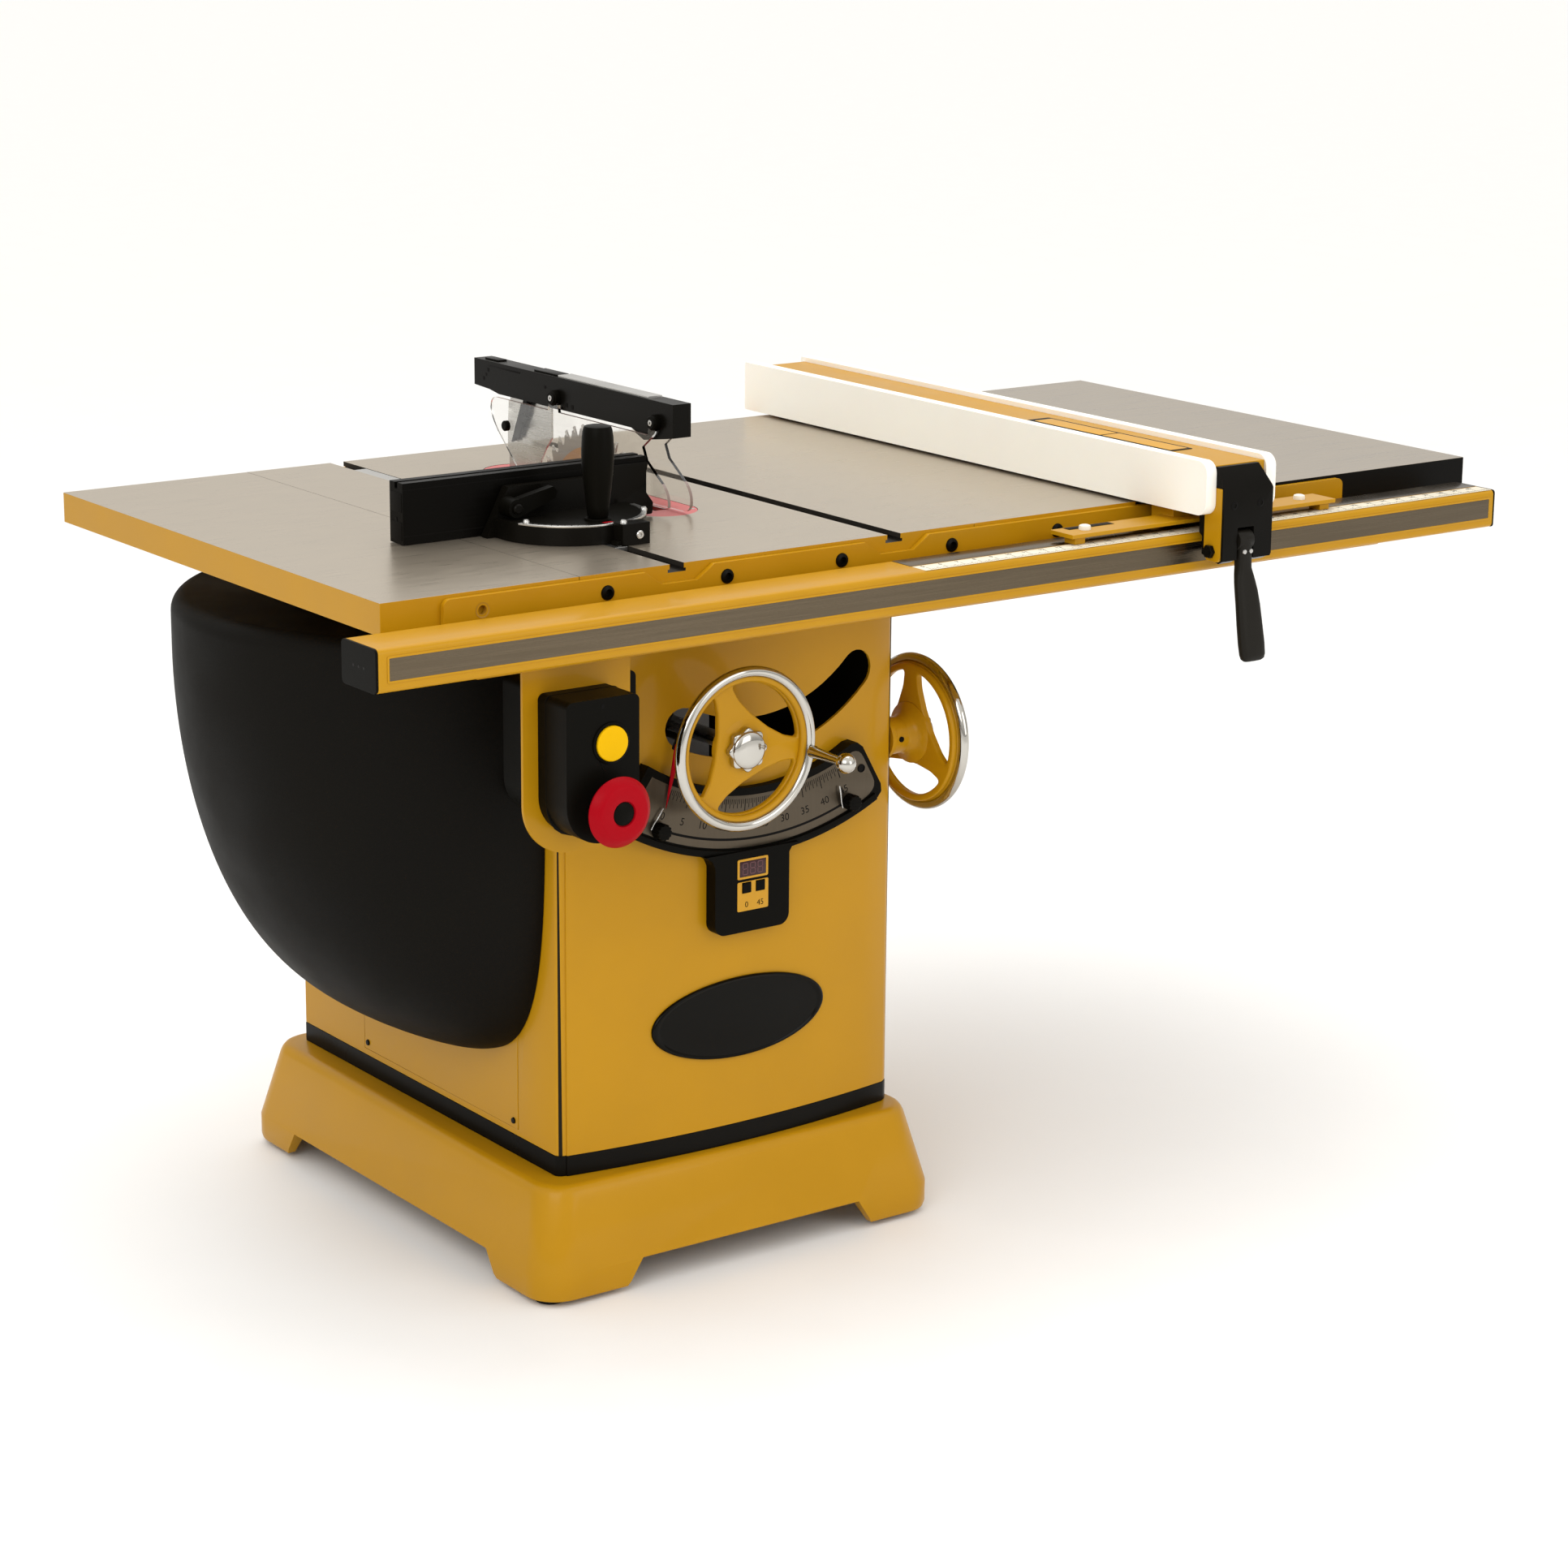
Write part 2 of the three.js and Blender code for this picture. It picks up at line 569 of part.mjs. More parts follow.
// cranked grip standing out of the rim, towards -Y
function crank() {
  const profile = [[0, -86], [6, -84.6], [10.6, -79], [12, -73], [10.6, -67], [6.4, -62.4], [5, -56], [6.4, -14],
    [6.4, -8], [0, -8]];
  return solid(new THREE.LatheGeometry(profile.map(([r, h]) => new THREE.Vector2(r, h)), 16));
}

// lobed locking knob on the wheel's axis, in front of the hub
function lockKnob() {
  const lobes = 9;
  const s = new THREE.Shape();
  const steps = lobes * 4;
  for (let i = 0; i < steps; i++) {
    const a = (2 * Math.PI * i) / steps;
    const r = 25.5 + 1.6 * Math.cos(lobes * a);
    if (i === 0) s.moveTo(r * Math.cos(a), r * Math.sin(a));
    else s.lineTo(r * Math.cos(a), r * Math.sin(a));
  }
  s.closePath();
  return join(slab(s, "y", -8, 3.7), bar("y", 0, 0, -12, -7, 18, 24, 24));
}

const shaftAt = aboutPivot(SHAFT_ORBIT, SHAFT_ANGLE);
const WHEEL_Y = -20; // plane of the height wheel's rim
{
  const place = [shaftAt.x, WHEEL_Y, shaftAt.z];
  const crankAngle = -9;
  const crankAt = [
    place[0] + WHEEL_R * Math.cos(rad(crankAngle)),
    WHEEL_Y,
    place[2] + WHEEL_R * Math.sin(rad(crankAngle)),
  ];
  const shaft = bar("y", shaftAt.x, shaftAt.z, 10, 149, 9.5);
  part("height_handwheel", join(wheel().translate(place), shaft), YELLOW);
  part("height_lock_knob", lockKnob().translate(place), CHROME);
  part("height_crank", crank().translate(crankAt), CHROME);

  // the same wheel on the right side, its face to +X, its crank towards the back
  const side = [TILT_WHEEL.x, TILT_WHEEL.y, TILT_WHEEL.z];
  const turn = (body) => body.rotate([0, -TILT_WHEEL.turn, 0]).rotate([0, 0, 90]);
  const tiltShaft = bar("x", TILT_WHEEL.y, TILT_WHEEL.z, 690, 790, 9.5);
  const collar = bar("x", TILT_WHEEL.y, TILT_WHEEL.z, CAB.right + GAP, 784, 24, 22, 24);
  const worm = bar("x", TILT_WHEEL.y, TILT_WHEEL.z, 696, 740, 12);
  part("tilt_handwheel", join(turn(wheel()).translate(side), tiltShaft, collar, worm), YELLOW);
  part("tilt_lock_knob", turn(lockKnob()).translate(side), CHROME);
  const low = rad(TILT_WHEEL.turn + crankAngle);
  const back = [side[0], side[1] + WHEEL_R * Math.cos(low), side[2] + WHEEL_R * Math.sin(low)];
  part("tilt_crank", turn(crank()).translate(back), CHROME);
}

// ---------------------------------------------------------------- trunnions and cradle
const FRONT_RING = [118, 134];
const REAR_RING = [644, 660];
const RING = { inner: 150, outer: 178 };
const POSTS_Y = [300, 590];
const POST = { x: 495, r: 9, bottom: 580, top: 850 };
const UNDER = TOP - PLATE - GAP; // underside of the main table's plate

// a saddle under the table, in which one end of the cradle turns
function saddle([y0, y1]) {
  const ring = slab(sector(RING.inner, RING.outer, -96, 96, 24), "y", y0, y1);
  const half = RING.outer - 30;
  const pads = [-1, 1].map((side) => {
    const x = PIVOT_X + side * (half + 26);
    return block(x - 34, x + 34, y0 - 4, y1, UNDER - 14, UNDER);
  });
  const clear = bar("y", PIVOT_X, TOP, y0 - 20, y1 + 20, RING.inner, RING.inner, 48);
  const above = block(PIVOT_X - 300, PIVOT_X + 300, y0 - 10, y1 + 10, UNDER, TOP + 300);
  return cut(join(ring, ...pads), clear, above);
}

function cradle() {
  const yoke = ([y0, y1], spine) => {
    const disc = slab(sector(62, RING.inner - 1.5, -86, 38), "y", y0, y1);
    return join(disc, block(440, 524, spine[0], spine[1], 556, 810));
  };
  const front = yoke([FRONT_RING[0], 150], [136, 150]);
  const rear = yoke([628, REAR_RING[1]], [628, 642]);
  const beam = block(480, 520, 140, 638, 556, 590);
  const posts = POSTS_Y.map((y) => bar("z", POST.x, y, POST.bottom, POST.top, POST.r));
  const bearing = bar("y", shaftAt.x, shaftAt.z, 100, 170, 11);
  const under = block(PIVOT_X - 300, PIVOT_X + 300, 0, 700, UNDER - 0.5, TOP + 150);
  // the same headroom again for the fully tilted cradle
  const underTilted = under.translate([-PIVOT_X, 0, -TOP]).rotate([0, 45, 0]).translate([PIVOT_X, 0, TOP]);
  return cut(join(front, rear, beam, ...posts), bearing, under, underTilted);
}
part("trunnion_bracket_front", saddle(FRONT_RING), CAST);
part("trunnion_bracket_rear", saddle(REAR_RING), CAST);
part("trunnion_cradle", cradle(), CAST);

// ---------------------------------------------------------------- arbor carriage, motor and blade
const PULLEY = { x0: 456, x1: 474, r: 18 };
{
  const slide = block(480, 511, 280, 610, 740, 800);
  const web = block(480, 511, ARBOR_Y - 24, ARBOR_Y + 24, 796, ARBOR_Z);
  const housing = bar("x", ARBOR_Y, ARBOR_Z, 480, 537, 22, 22, 24);
  const arm = block(430, 482, 490, 530, 700, 790);
  const motorPlate = block(MOTOR.right + 1, MOTOR.right + 11, 345, 530, 560, 790);
  const lug = block(508, 543.4, 572, 608, 744, 796);
  const holes = POSTS_Y.map((y) => bar("z", POST.x, y, 700, 830, POST.r + 0.4));
  const bore = bar("x", ARBOR_Y, ARBOR_Z, 470, 545, 10.3);
  const motorBore = bar("x", MOTOR.y, MOTOR.z, MOTOR.right - 5, MOTOR.right + 15, 14);
  part("arbor_bracket", cut(join(slide, web, housing, arm, motorPlate, lug), ...holes, bore, motorBore), CAST);
}
{
  const { y, z, r, left, right } = MOTOR;
  const can = bar("x", y, z, left + 26, right, r, r, 28);
  const fanCover = bar("x", y, z, left, left + 26 + 1, r - 10, r - 1, 28);
  const box = block(230, 350, y - 45, y + 45, z + r - 12, z + r + 34);
  const bore = bar("x", y, z, right - 40, right + 5, 11);
  part("motor_body", cut(join(can, fanCover, box), bore), BLACK);
  const spindle = bar("x", y, z, right - 38, PULLEY.x1 + 2, 9.5);
  part("motor_shaft", join(spindle, bar("x", y, z, PULLEY.x0, PULLEY.x1, PULLEY.r, PULLEY.r, 24)), STEEL);
}
{
  // flat ribbed belt round both pulleys
  const dy = MOTOR.y - ARBOR_Y;
  const dz = MOTOR.z - ARBOR_Z;
  const lean = Math.atan2(dz, dy);
  const loop = (r) => {
    const points = [];
    const steps = 14;
    for (const [cy, cz, start] of [[MOTOR.y, MOTOR.z, lean - Math.PI / 2], [ARBOR_Y, ARBOR_Z, lean + Math.PI / 2]]) {
      for (let i = 0; i <= steps; i++) {
        const a = start + (Math.PI * i) / steps;
        points.push([cy + r * Math.cos(a), cz + r * Math.sin(a)]);
      }
    }
    return polygon(points);
  };
  const outer = slab(loop(PULLEY.r + 4.6), "x", PULLEY.x0 + 1, PULLEY.x1 - 1);
  part("drive_belt", cut(outer, slab(loop(PULLEY.r + 0.5), "x", PULLEY.x0 - 5, PULLEY.x1 + 5)), RUBBER);
}
{
  const shaft = bar("x", ARBOR_Y, ARBOR_Z, 452, BLADE_X + 12, 9.5);
  const pulley = bar("x", ARBOR_Y, ARBOR_Z, PULLEY.x0, PULLEY.x1, PULLEY.r, PULLEY.r, 24);
  const flange = bar("x", ARBOR_Y, ARBOR_Z, 538, BLADE_X - 1.4, 24, 24, 24);
  part("arbor_shaft", join(shaft, pulley, flange), STEEL);

  // forty carbide teeth on a plate of constant thickness
  const teeth = 40;
  const s = new THREE.Shape();
  for (let i = 0; i < teeth; i++) {
    const a = (2 * Math.PI * i) / teeth;
    const step = (2 * Math.PI) / teeth;
    const at = (r, k) => [r * Math.cos(a + step * k), r * Math.sin(a + step * k)];
    if (i === 0) s.moveTo(...at(BLADE_R, 0));
    else s.lineTo(...at(BLADE_R, 0));
    s.lineTo(...at(BLADE_R - 13, 0.1));
    s.lineTo(...at(BLADE_R - 12, 0.4));
    s.lineTo(...at(BLADE_R - 4, 0.62));
  }
  s.closePath();
  const plate = slab(s, "x", BLADE_X - 1.1, BLADE_X + 1.1).translate([0, ARBOR_Y, ARBOR_Z]);
  part("saw_blade", cut(plate, bar("x", ARBOR_Y, ARBOR_Z, BLADE_X - 9, BLADE_X + 9, 9.8)), STEEL);
  const washer = bar("x", ARBOR_Y, ARBOR_Z, BLADE_X + 1.4, BLADE_X + 4.6, 22, 22, 24);
  const nut = bar("x", ARBOR_Y, ARBOR_Z, BLADE_X + 4, BLADE_X + 11, 13.5, 13.5, 6);
  const thread = bar("x", ARBOR_Y, ARBOR_Z, BLADE_X - 5, BLADE_X + 20, 9.8);
  part("arbor_nut", cut(join(washer, nut), thread), STEEL);
}

// ---------------------------------------------------------------- riving knife and guard
const GUARD = { left: 532, right: 558, front: 225, back: 676, bottom: 970.5, top: 1010 };
const GUARD_EARS = [481, 259.5]; // where the shields' ears are bolted, from the rear
const PAWL_PIN = { y: 560, z: 968 };
{
  // the knife follows the blade's rim, 6 mm off it
  const s = new THREE.Shape();
  const gapR = BLADE_R + 6;
  const from = rad(-26);
  const to = rad(47);
  s.moveTo(ARBOR_Y + gapR * Math.cos(from), 746);
  s.lineTo(608, 746);
  s.lineTo(612, 820);
  s.lineTo(612, 930);
  s.lineTo(606, 1000);
  s.lineTo(ARBOR_Y + gapR * Math.cos(to), 1000);
  s.lineTo(ARBOR_Y + gapR * Math.cos(to), ARBOR_Z + gapR * Math.sin(to));
  s.absarc(ARBOR_Y, ARBOR_Z, gapR, to, from, true);
  const pinHole = bar("x", PAWL_PIN.y, PAWL_PIN.z, BLADE_X - 5, BLADE_X + 5, 3.4, 3.4, 12);
  part("riving_knife", cut(slab(s, "x", BLADE_X - 1.2, BLADE_X + 1.2, 14), pinHole), STEEL);

  // channel over the blade: two side plates joined along the top, open below
  const { left, right, front, back, bottom, top } = GUARD;
  const side = polygon([
    [front, bottom - 1], [246, 966], [284, 960], [314, bottom], [617, bottom], [639, 974], [back, 976],
    [back, top], [front, top],
  ]);
  const outer = slab(side, "x", left, right);
  const channel = polygon([[front + 3, 940], [back - 4, 940], [back - 4, top - 3], [front + 3, top - 3]]);
  const inner = slab(channel, "x", left + 3, right - 3);
  const strap = block(BLADE_X - 8, BLADE_X - 1.5, 510, 600, 978.5, top - 2);
  const strapRight = block(BLADE_X + 1.5, BLADE_X + 8, 510, 600, 978.5, top - 2);
  const topStrip = block(left + 3, right - 3, GUARD_EARS[1] + 22, GUARD_EARS[0] + 1, top - 1, top + 2.4);
  part("guard_arm", join(cut(outer, inner), strap, strapRight, topStrip), BLACK);

  // clear side shields beside the arm, each hung from two ears on its face
  const shield = (low) => {
    const p = new THREE.Shape();
    p.moveTo(566, low);
    p.lineTo(612, 925);
    p.quadraticCurveTo(630, 944, 629, 954);
    p.quadraticCurveTo(628, 967, 616, 967.5);
    for (const y of GUARD_EARS) {
      p.lineTo(y + 12, 967.5);
      p.lineTo(y + 8, 984.5);
      p.absarc(y, 984.5, 8, 0, Math.PI, false);
      p.lineTo(y > 300 ? y - 12 : 256, y > 300 ? 967.5 : 972);
    }
    p.lineTo(283, 952);
    p.lineTo(275, 936);
    p.lineTo(241, 913);
    p.quadraticCurveTo(226, 902, 228, 886);
    p.quadraticCurveTo(231, low, 245, low);
    return p;
  };
  part("shield_left", slab(shield(TOP + 9.8), "x", left - 5.2, left - 1.2), CLEAR);
  part("shield_right", slab(shield(TOP + 2), "x", right + 1.2, right + 5.2), CLEAR);

  // toothed pawls each side of the knife, hung on one pin below the arm
  const pawl = polygon([[553, 974], [567, 973], [577, 950], [588, 926], [594, 912], [586, 915], [583, 921], [578, 919],
    [574, 927], [571, 931], [558, 952]]);
  const pawlLeft = slab(pawl, "x", BLADE_X - 7, BLADE_X - 3.5);
  const pawlRight = slab(pawl, "x", BLADE_X + 3.5, BLADE_X + 7);
  const pin = bar("x", PAWL_PIN.y, PAWL_PIN.z, BLADE_X - 8.5, BLADE_X + 8.5, 3, 3, 12);
  part("kickback_pawls", join(pawlLeft, pawlRight, pin), BLACK);
}

// ---------------------------------------------------------------- rip fence
{
  const { left, right, board, front, back, bottom, top } = FENCE;
  const boardShape = roundRect(front, back, bottom, top, [15, 3, 3, 15]);
  part("fence_board_left", slab(boardShape, "x", left, left + board, 5), WHITE);
  part("fence_board_right", slab(boardShape, "x", right - board, right, 5), WHITE);
  const x0 = left + board + GAP;
  const x1 = right - board - GAP;
  const beamTop = top - 6;
  const wall = 3;
  const tube = cut(
    block(x0, x1, -134, 806, bottom + 2, beamTop),
    block(x0 + wall, x1 - wall, -130, 820, bottom + 2 + wall, beamTop - wall)
  );
  const shoe = { x0: 895, x1: 1323, y0: -84, y1: -42, z0: 859, z1: 864 }; // cross-bar over the rail
  const cross = block(shoe.x0, shoe.x1, shoe.y0, shoe.y1, shoe.z0, shoe.z1);
  const pads = [910, 1308].map((x) => block(x - 8, x + 8, -80, -60, RAIL.top + 0.5, shoe.z0 + 1));
  const riser = block(x0, x1, -62, RAIL.back + 7, shoe.z0, bottom + 4);
  const lip = block(x0, x1, RAIL.back + 1, RAIL.back + 7, 838, shoe.z1);
  // side cheeks that hang in front of the rail and carry the clamp
  const cheek = polygon([[-118, 911], [-148, 911], [-148, 827], [-143, 821], [-124, 821], [-118, 828]]);
  const cheeks = [[x0, x0 + 4], [x1 - 4, x1]].map(([a, b]) => slab(cheek, "x", a, b));
  const glide = block(x0 + 20, x1 - 20, 782, 804, TOP - 16 + 0.5, bottom + 3);
  part("fence_body", join(tube, cross, riser, lip, glide, ...pads, ...cheeks), YELLOW);

  // clamp head: a block between the cheeks behind a cap that covers their front edges
  const inner = { x0: x0 + 4 + GAP, x1: x1 - 4 - GAP };
  const core = polygon([[-140, 909], [-150, 909], [-150, 823], [-140, 818], [-110, 826], [-110, 848], [-104.5, 852],
    [-104.5, 879], [-140, 879]]);
  const capSide = polygon([[-134.3, beamTop - 1], [-140, beamTop - 1], [-152, 910], [-152, 823], [-148.3, 823],
    [-148.3, 911.3], [-134.3, 911.3]]);
  const capFront = polygon([[x0 + GAP, 823], [x1 - 2, 823], [x1 - GAP, 826], [x1 - GAP, 907], [x1 - 16, 940],
    [x0 + GAP, 940]]);
  const cap = slab(capSide, "x", x0, x1).intersect(slab(capFront, "y", -160, -130));
  const middle = (x0 + x1) / 2 - 3;
  const mouth = block(middle - 13, middle + 13, -175, -122, 800, 862);
  part("fence_head", cut(join(slab(core, "x", inner.x0, inner.x1), cap), mouth), BLACK);

  // the lever hangs a little forward and widens into a paddle
  const hub = bar("x", LEVER_PIN.y, LEVER_PIN.z, middle - 11.5, middle + 11.5, 12, 12, 20);
  const side = polygon([[-139, 846], [-141, 812], [-152.5, 775], [-164, 706], [-166, 701], [-176, 701],
    [-180, 706], [-166.5, 775], [-157, 812], [-157, 846]]);
  const outline = [[10, 846], [10, 812], [13, 805], [16, 787], [17.5, 770], [18.5, 745], [19, 722], [18, 706],
    [14, 701]];
  const mirrored = outline.map(([half, z]) => [middle - half, z]).reverse();
  const face = polygon([...outline.map(([half, z]) => [middle + half, z]), ...mirrored]);
  const paddle = slab(side, "x", middle - 25, middle + 25).intersect(slab(face, "y", -190, -130));
  part("fence_lever", join(hub, paddle), BLACK);
}

// ---------------------------------------------------------------- miter gauge
{
  const { x, y, r, top, fence } = MITER;
  const front = y - r; // front of the half-round head
  part("miter_bar", join(
    block(x - 9.4, x + 9.4, front - 21, 715, TOP - 9, TOP - GAP),
    block(x + 2.5, x + 40, front - 21, front - GAP, TOP + GAP, TOP + 25.5),
    block(x - 2, x + 8, front - 16, front - 2, TOP - 5, TOP + 5)
  ), STEEL);
  const lowFace = TOP + 0.6;
  const disc = new THREE.Shape();
  disc.absarc(x, y, r, rad(180), rad(360), false);
  disc.lineTo(x + r, fence - 12);
  disc.lineTo(x - r, fence - 12);
  const plate = slab(disc, "z", lowFace, top, 18);
  const shoulder = { left: x - 104, right: x + 73, top: TOP + 58 };
  const wall = polygon([[shoulder.left, lowFace], [shoulder.right, lowFace], [shoulder.right, shoulder.top],
    [x - 74, shoulder.top], [shoulder.left + 18, TOP + 34]]);
  const bracket = slab(wall, "y", fence - 16, fence - 2.6);
  const boss = bar("z", x + 2, GRIP_Y, top - 2, top + 3, 16, 16, 20);
  part("miter_head", join(plate, bracket, boss), BLACK);
  const section = polygon([[fence, 875], [fence + 30, 875], [fence + 30, 946.5], [fence + 18, 946.5],
    [fence + 18, 939], [fence + 12, 939], [fence + 12, 946.5], [fence, 946.5]]);
  part("miter_fence", slab(section, "x", 178, 514), BLACK);
  const grip = [[0, 26.4], [12.5, 26.4], [14, 50], [16.6, 84], [18.2, 108], [17.6, 126], [14.5, 133], [0, 134]];
  const gripBody = new THREE.LatheGeometry(grip.map(([radius, h]) => new THREE.Vector2(radius, h)), 20);
  gripBody.rotateX(Math.PI / 2).translate(x + 2, GRIP_Y, TOP);
  part("miter_grip", solid(gripBody), BLACK);
  // clamp lever on the front of the bracket
  const { px, pz } = CLAMP;
  const lever = polygon([[px - 8, pz - 8], [px + 4, pz - 11], [px + 54, pz + 7], [px + 57, pz + 15],
    [px + 51, pz + 21], [px - 6, pz + 9]]);
  const clamp = join(slab(lever, "y", 218, 229), bar("y", px, pz, 216, fence - 16.3, 11, 12, 18));
  part("miter_clamp", clamp, BLACK);
}

export default group;
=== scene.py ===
"""Looks of a left-tilting cabinet table saw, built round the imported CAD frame."""
import json
import math

import bmesh
import bpy
from mathutils import Matrix, Vector

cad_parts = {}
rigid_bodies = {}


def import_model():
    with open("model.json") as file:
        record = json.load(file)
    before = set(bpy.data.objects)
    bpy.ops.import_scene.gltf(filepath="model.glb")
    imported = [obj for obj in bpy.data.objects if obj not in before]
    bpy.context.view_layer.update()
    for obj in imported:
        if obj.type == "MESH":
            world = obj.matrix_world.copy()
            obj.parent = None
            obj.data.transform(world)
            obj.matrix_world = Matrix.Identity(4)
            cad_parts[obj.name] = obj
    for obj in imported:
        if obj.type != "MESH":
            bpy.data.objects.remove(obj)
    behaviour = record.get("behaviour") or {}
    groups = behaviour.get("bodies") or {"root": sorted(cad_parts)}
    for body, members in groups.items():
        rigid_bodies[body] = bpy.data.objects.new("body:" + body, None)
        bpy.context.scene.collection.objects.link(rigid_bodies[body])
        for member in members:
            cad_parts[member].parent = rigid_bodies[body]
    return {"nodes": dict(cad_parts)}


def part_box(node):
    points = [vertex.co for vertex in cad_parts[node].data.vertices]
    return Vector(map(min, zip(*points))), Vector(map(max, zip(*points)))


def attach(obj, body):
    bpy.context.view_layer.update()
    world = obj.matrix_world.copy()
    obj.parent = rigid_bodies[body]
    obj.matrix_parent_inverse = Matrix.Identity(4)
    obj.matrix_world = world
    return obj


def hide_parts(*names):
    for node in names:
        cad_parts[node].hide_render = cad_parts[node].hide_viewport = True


for leftover in list(bpy.data.objects):
    bpy.data.objects.remove(leftover)

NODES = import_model()["nodes"]
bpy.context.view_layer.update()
scene = bpy.context.scene

MM = 0.001
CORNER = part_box("wing_left")[0]  # front left corner of the cast-iron table
TOP = 874  # height of the table surface
ARM_TOP = 1010  # top of the guard arm's channel
PIVOT_X = 536  # the tilt axis, at the table surface
MITER_SLOTS = (384, 692)
MITER_X, MITER_Y = MITER_SLOTS[0], 226  # where the miter head turns on its bar
POCKET_X = 550  # middle of the throat insert's pocket


def W(x, y, z):
    """A point in millimetres from the table's front left corner, with z above the floor."""
    return Vector((CORNER.x + x * MM, CORNER.y + y * MM, z * MM))


def in_mm(node):
    """A CAD node's box in the same millimetres: (low, high)."""
    low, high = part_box(node)
    shift = Vector((CORNER.x, CORNER.y, 0))
    return (low - shift) / MM, (high - shift) / MM


def middle_of(node):
    """The middle of a CAD node's box."""
    low, high = in_mm(node)
    return (low + high) / 2


def centre_mm(polygon):
    """The middle of a CAD face in the same millimetres."""
    return (polygon.center - Vector((CORNER.x, CORNER.y, 0))) / MM


rad = math.radians

# ---- camera
YAW, PITCH, ROLL = rad(35.575), rad(-14.204), rad(0.397)
EYE = W(-1972.1, -3443.9, 1733.6)

forward = Vector((math.sin(YAW) * math.cos(PITCH), math.cos(YAW) * math.cos(PITCH), math.sin(PITCH)))
level_right = Vector((math.cos(YAW), -math.sin(YAW), 0))
level_up = level_right.cross(forward)
right = level_right * math.cos(ROLL) + level_up * math.sin(ROLL)
up = level_up * math.cos(ROLL) - level_right * math.sin(ROLL)
camera_data = bpy.data.cameras.new("camera")
camera_data.lens = 86.83
camera_data.sensor_width = 36
camera_data.shift_x = 0.0197
camera_data.shift_y = -0.0324
camera_data.clip_end = 60
camera = bpy.data.objects.new("camera", camera_data)
scene.collection.objects.link(camera)
camera.matrix_world = Matrix((
    (right.x, up.x, -forward.x, EYE.x),
    (right.y, up.y, -forward.y, EYE.y),
    (right.z, up.z, -forward.z, EYE.z),
    (0, 0, 0, 1),
))
scene.camera = camera
scene.view_settings.view_transform = "Standard"


# ---- materials
def surface(name, color, rough, metal=0.0, *, spread=0.08, stretch=(1, 1, 1), scale=9.0, grain=420.0,
            bump=0.08, depth=0.0003, rough_spread=0.06, specular=0.5, **sockets):
    """A procedural finish: slow colour and gloss variation, with a fine grain bump."""
    material = bpy.data.materials.new(name)
    material.use_nodes = True
    tree = material.node_tree
    shader = tree.nodes["Principled BSDF"]
    coords = tree.nodes.new("ShaderNodeTexCoord")
    mapping = tree.nodes.new("ShaderNodeMapping")
    mapping.inputs["Scale"].default_value = stretch
    tree.links.new(coords.outputs["Object"], mapping.inputs["Vector"])

    def noise(noise_scale, detail):
        node = tree.nodes.new("ShaderNodeTexNoise")
        node.inputs["Scale"].default_value = noise_scale
        node.inputs["Detail"].default_value = detail
        tree.links.new(mapping.outputs["Vector"], node.inputs["Vector"])
        return node

    slow = noise(scale, 4.0)
    fine = noise(grain, 2.0)
    ramp = tree.nodes.new("ShaderNodeValToRGB")
    for element, factor, place in zip(ramp.color_ramp.elements, (1 - spread, 1 + spread), (0.3, 0.7)):
        element.position = place
        element.color = [min(1.0, c * factor) for c in color] + [1.0]
    tree.links.new(slow.outputs["Fac"], ramp.inputs["Fac"])
    tree.links.new(ramp.outputs["Color"], shader.inputs["Base Color"])
    gloss = tree.nodes.new("ShaderNodeMapRange")
    gloss.inputs["From Min"].default_value = 0.3
    gloss.inputs["From Max"].default_value = 0.7
    gloss.inputs["To Min"].default_value = max(0.02, rough - rough_spread)
    gloss.inputs["To Max"].default_value = min(1.0, rough + rough_spread)
    tree.links.new(slow.outputs["Fac"], gloss.inputs["Value"])
    tree.links.new(gloss.outputs["Result"], shader.inputs["Roughness"])
    relief = tree.nodes.new("ShaderNodeBump")
    relief.inputs["Strength"].default_value = bump
    relief.inputs["Distance"].default_value = depth
    tree.links.new(fine.outputs["Fac"], relief.inputs["Height"])
    tree.links.new(relief.outputs["Normal"], shader.inputs["Normal"])
    shader.inputs["Metallic"].default_value = metal
    shader.inputs["Specular IOR Level"].default_value = specular
    for socket, value in sockets.items():
        shader.inputs[socket.replace("_", " ")].default_value = value
    material.diffuse_color = list(color) + [1.0]
    return material


YELLOW = surface("yellow_paint", (0.455, 0.226, 0.0038), 0.34, spread=0.03, grain=260, bump=0.10,
    specular=0.13, Coat_Weight=0.12, Coat_Roughness=0.10)
# a darker copy of the yellow paint: painted shade for the inside of the rail's empty hole
YELLOW_SHADED_RECESS = surface("yellow_paint_painted_shade", (0.40, 0.20, 0.012), 0.4, spread=0.05, grain=260)
IRON = surface("ground_iron", (0.46, 0.395, 0.31), 0.30, 0.8, spread=0.05, stretch=(1.2, 34, 1), scale=14,
    grain=160, bump=0.012, rough_spread=0.03)
# near-black iron: dark joints between the wings, and painted shade on the faces inside the miter slots and
# the insert pocket
IRON_JOINT_AND_SHADE = surface("joint_and_painted_shade_iron", (0.026, 0.022, 0.017), 0.55, 0.3, spread=0.12, specular=0.2)
RAW_IRON = surface("raw_casting", (0.20, 0.19, 0.18), 0.62, 0.6, spread=0.2, grain=180, bump=0.5,
    depth=0.0008)
STEEL = surface("turned_steel", (0.55, 0.54, 0.52), 0.28, 1.0, spread=0.06, stretch=(1, 1, 30), grain=300)
BRUSHED = surface("brushed_strip", (0.125, 0.098, 0.066), 0.26, 1.0, spread=0.08, stretch=(1, 1, 60),
    scale=8, grain=120, bump=0.12)
CHROME = surface("chrome", (0.50, 0.48, 0.44), 0.09, 1.0, spread=0.01, bump=0.01, rough_spread=0.02)
COVER = surface("cover_plastic", (0.0042, 0.0035, 0.0024), 0.58, spread=0.16, grain=620, bump=0.45,
    depth=0.0004, specular=0.07)
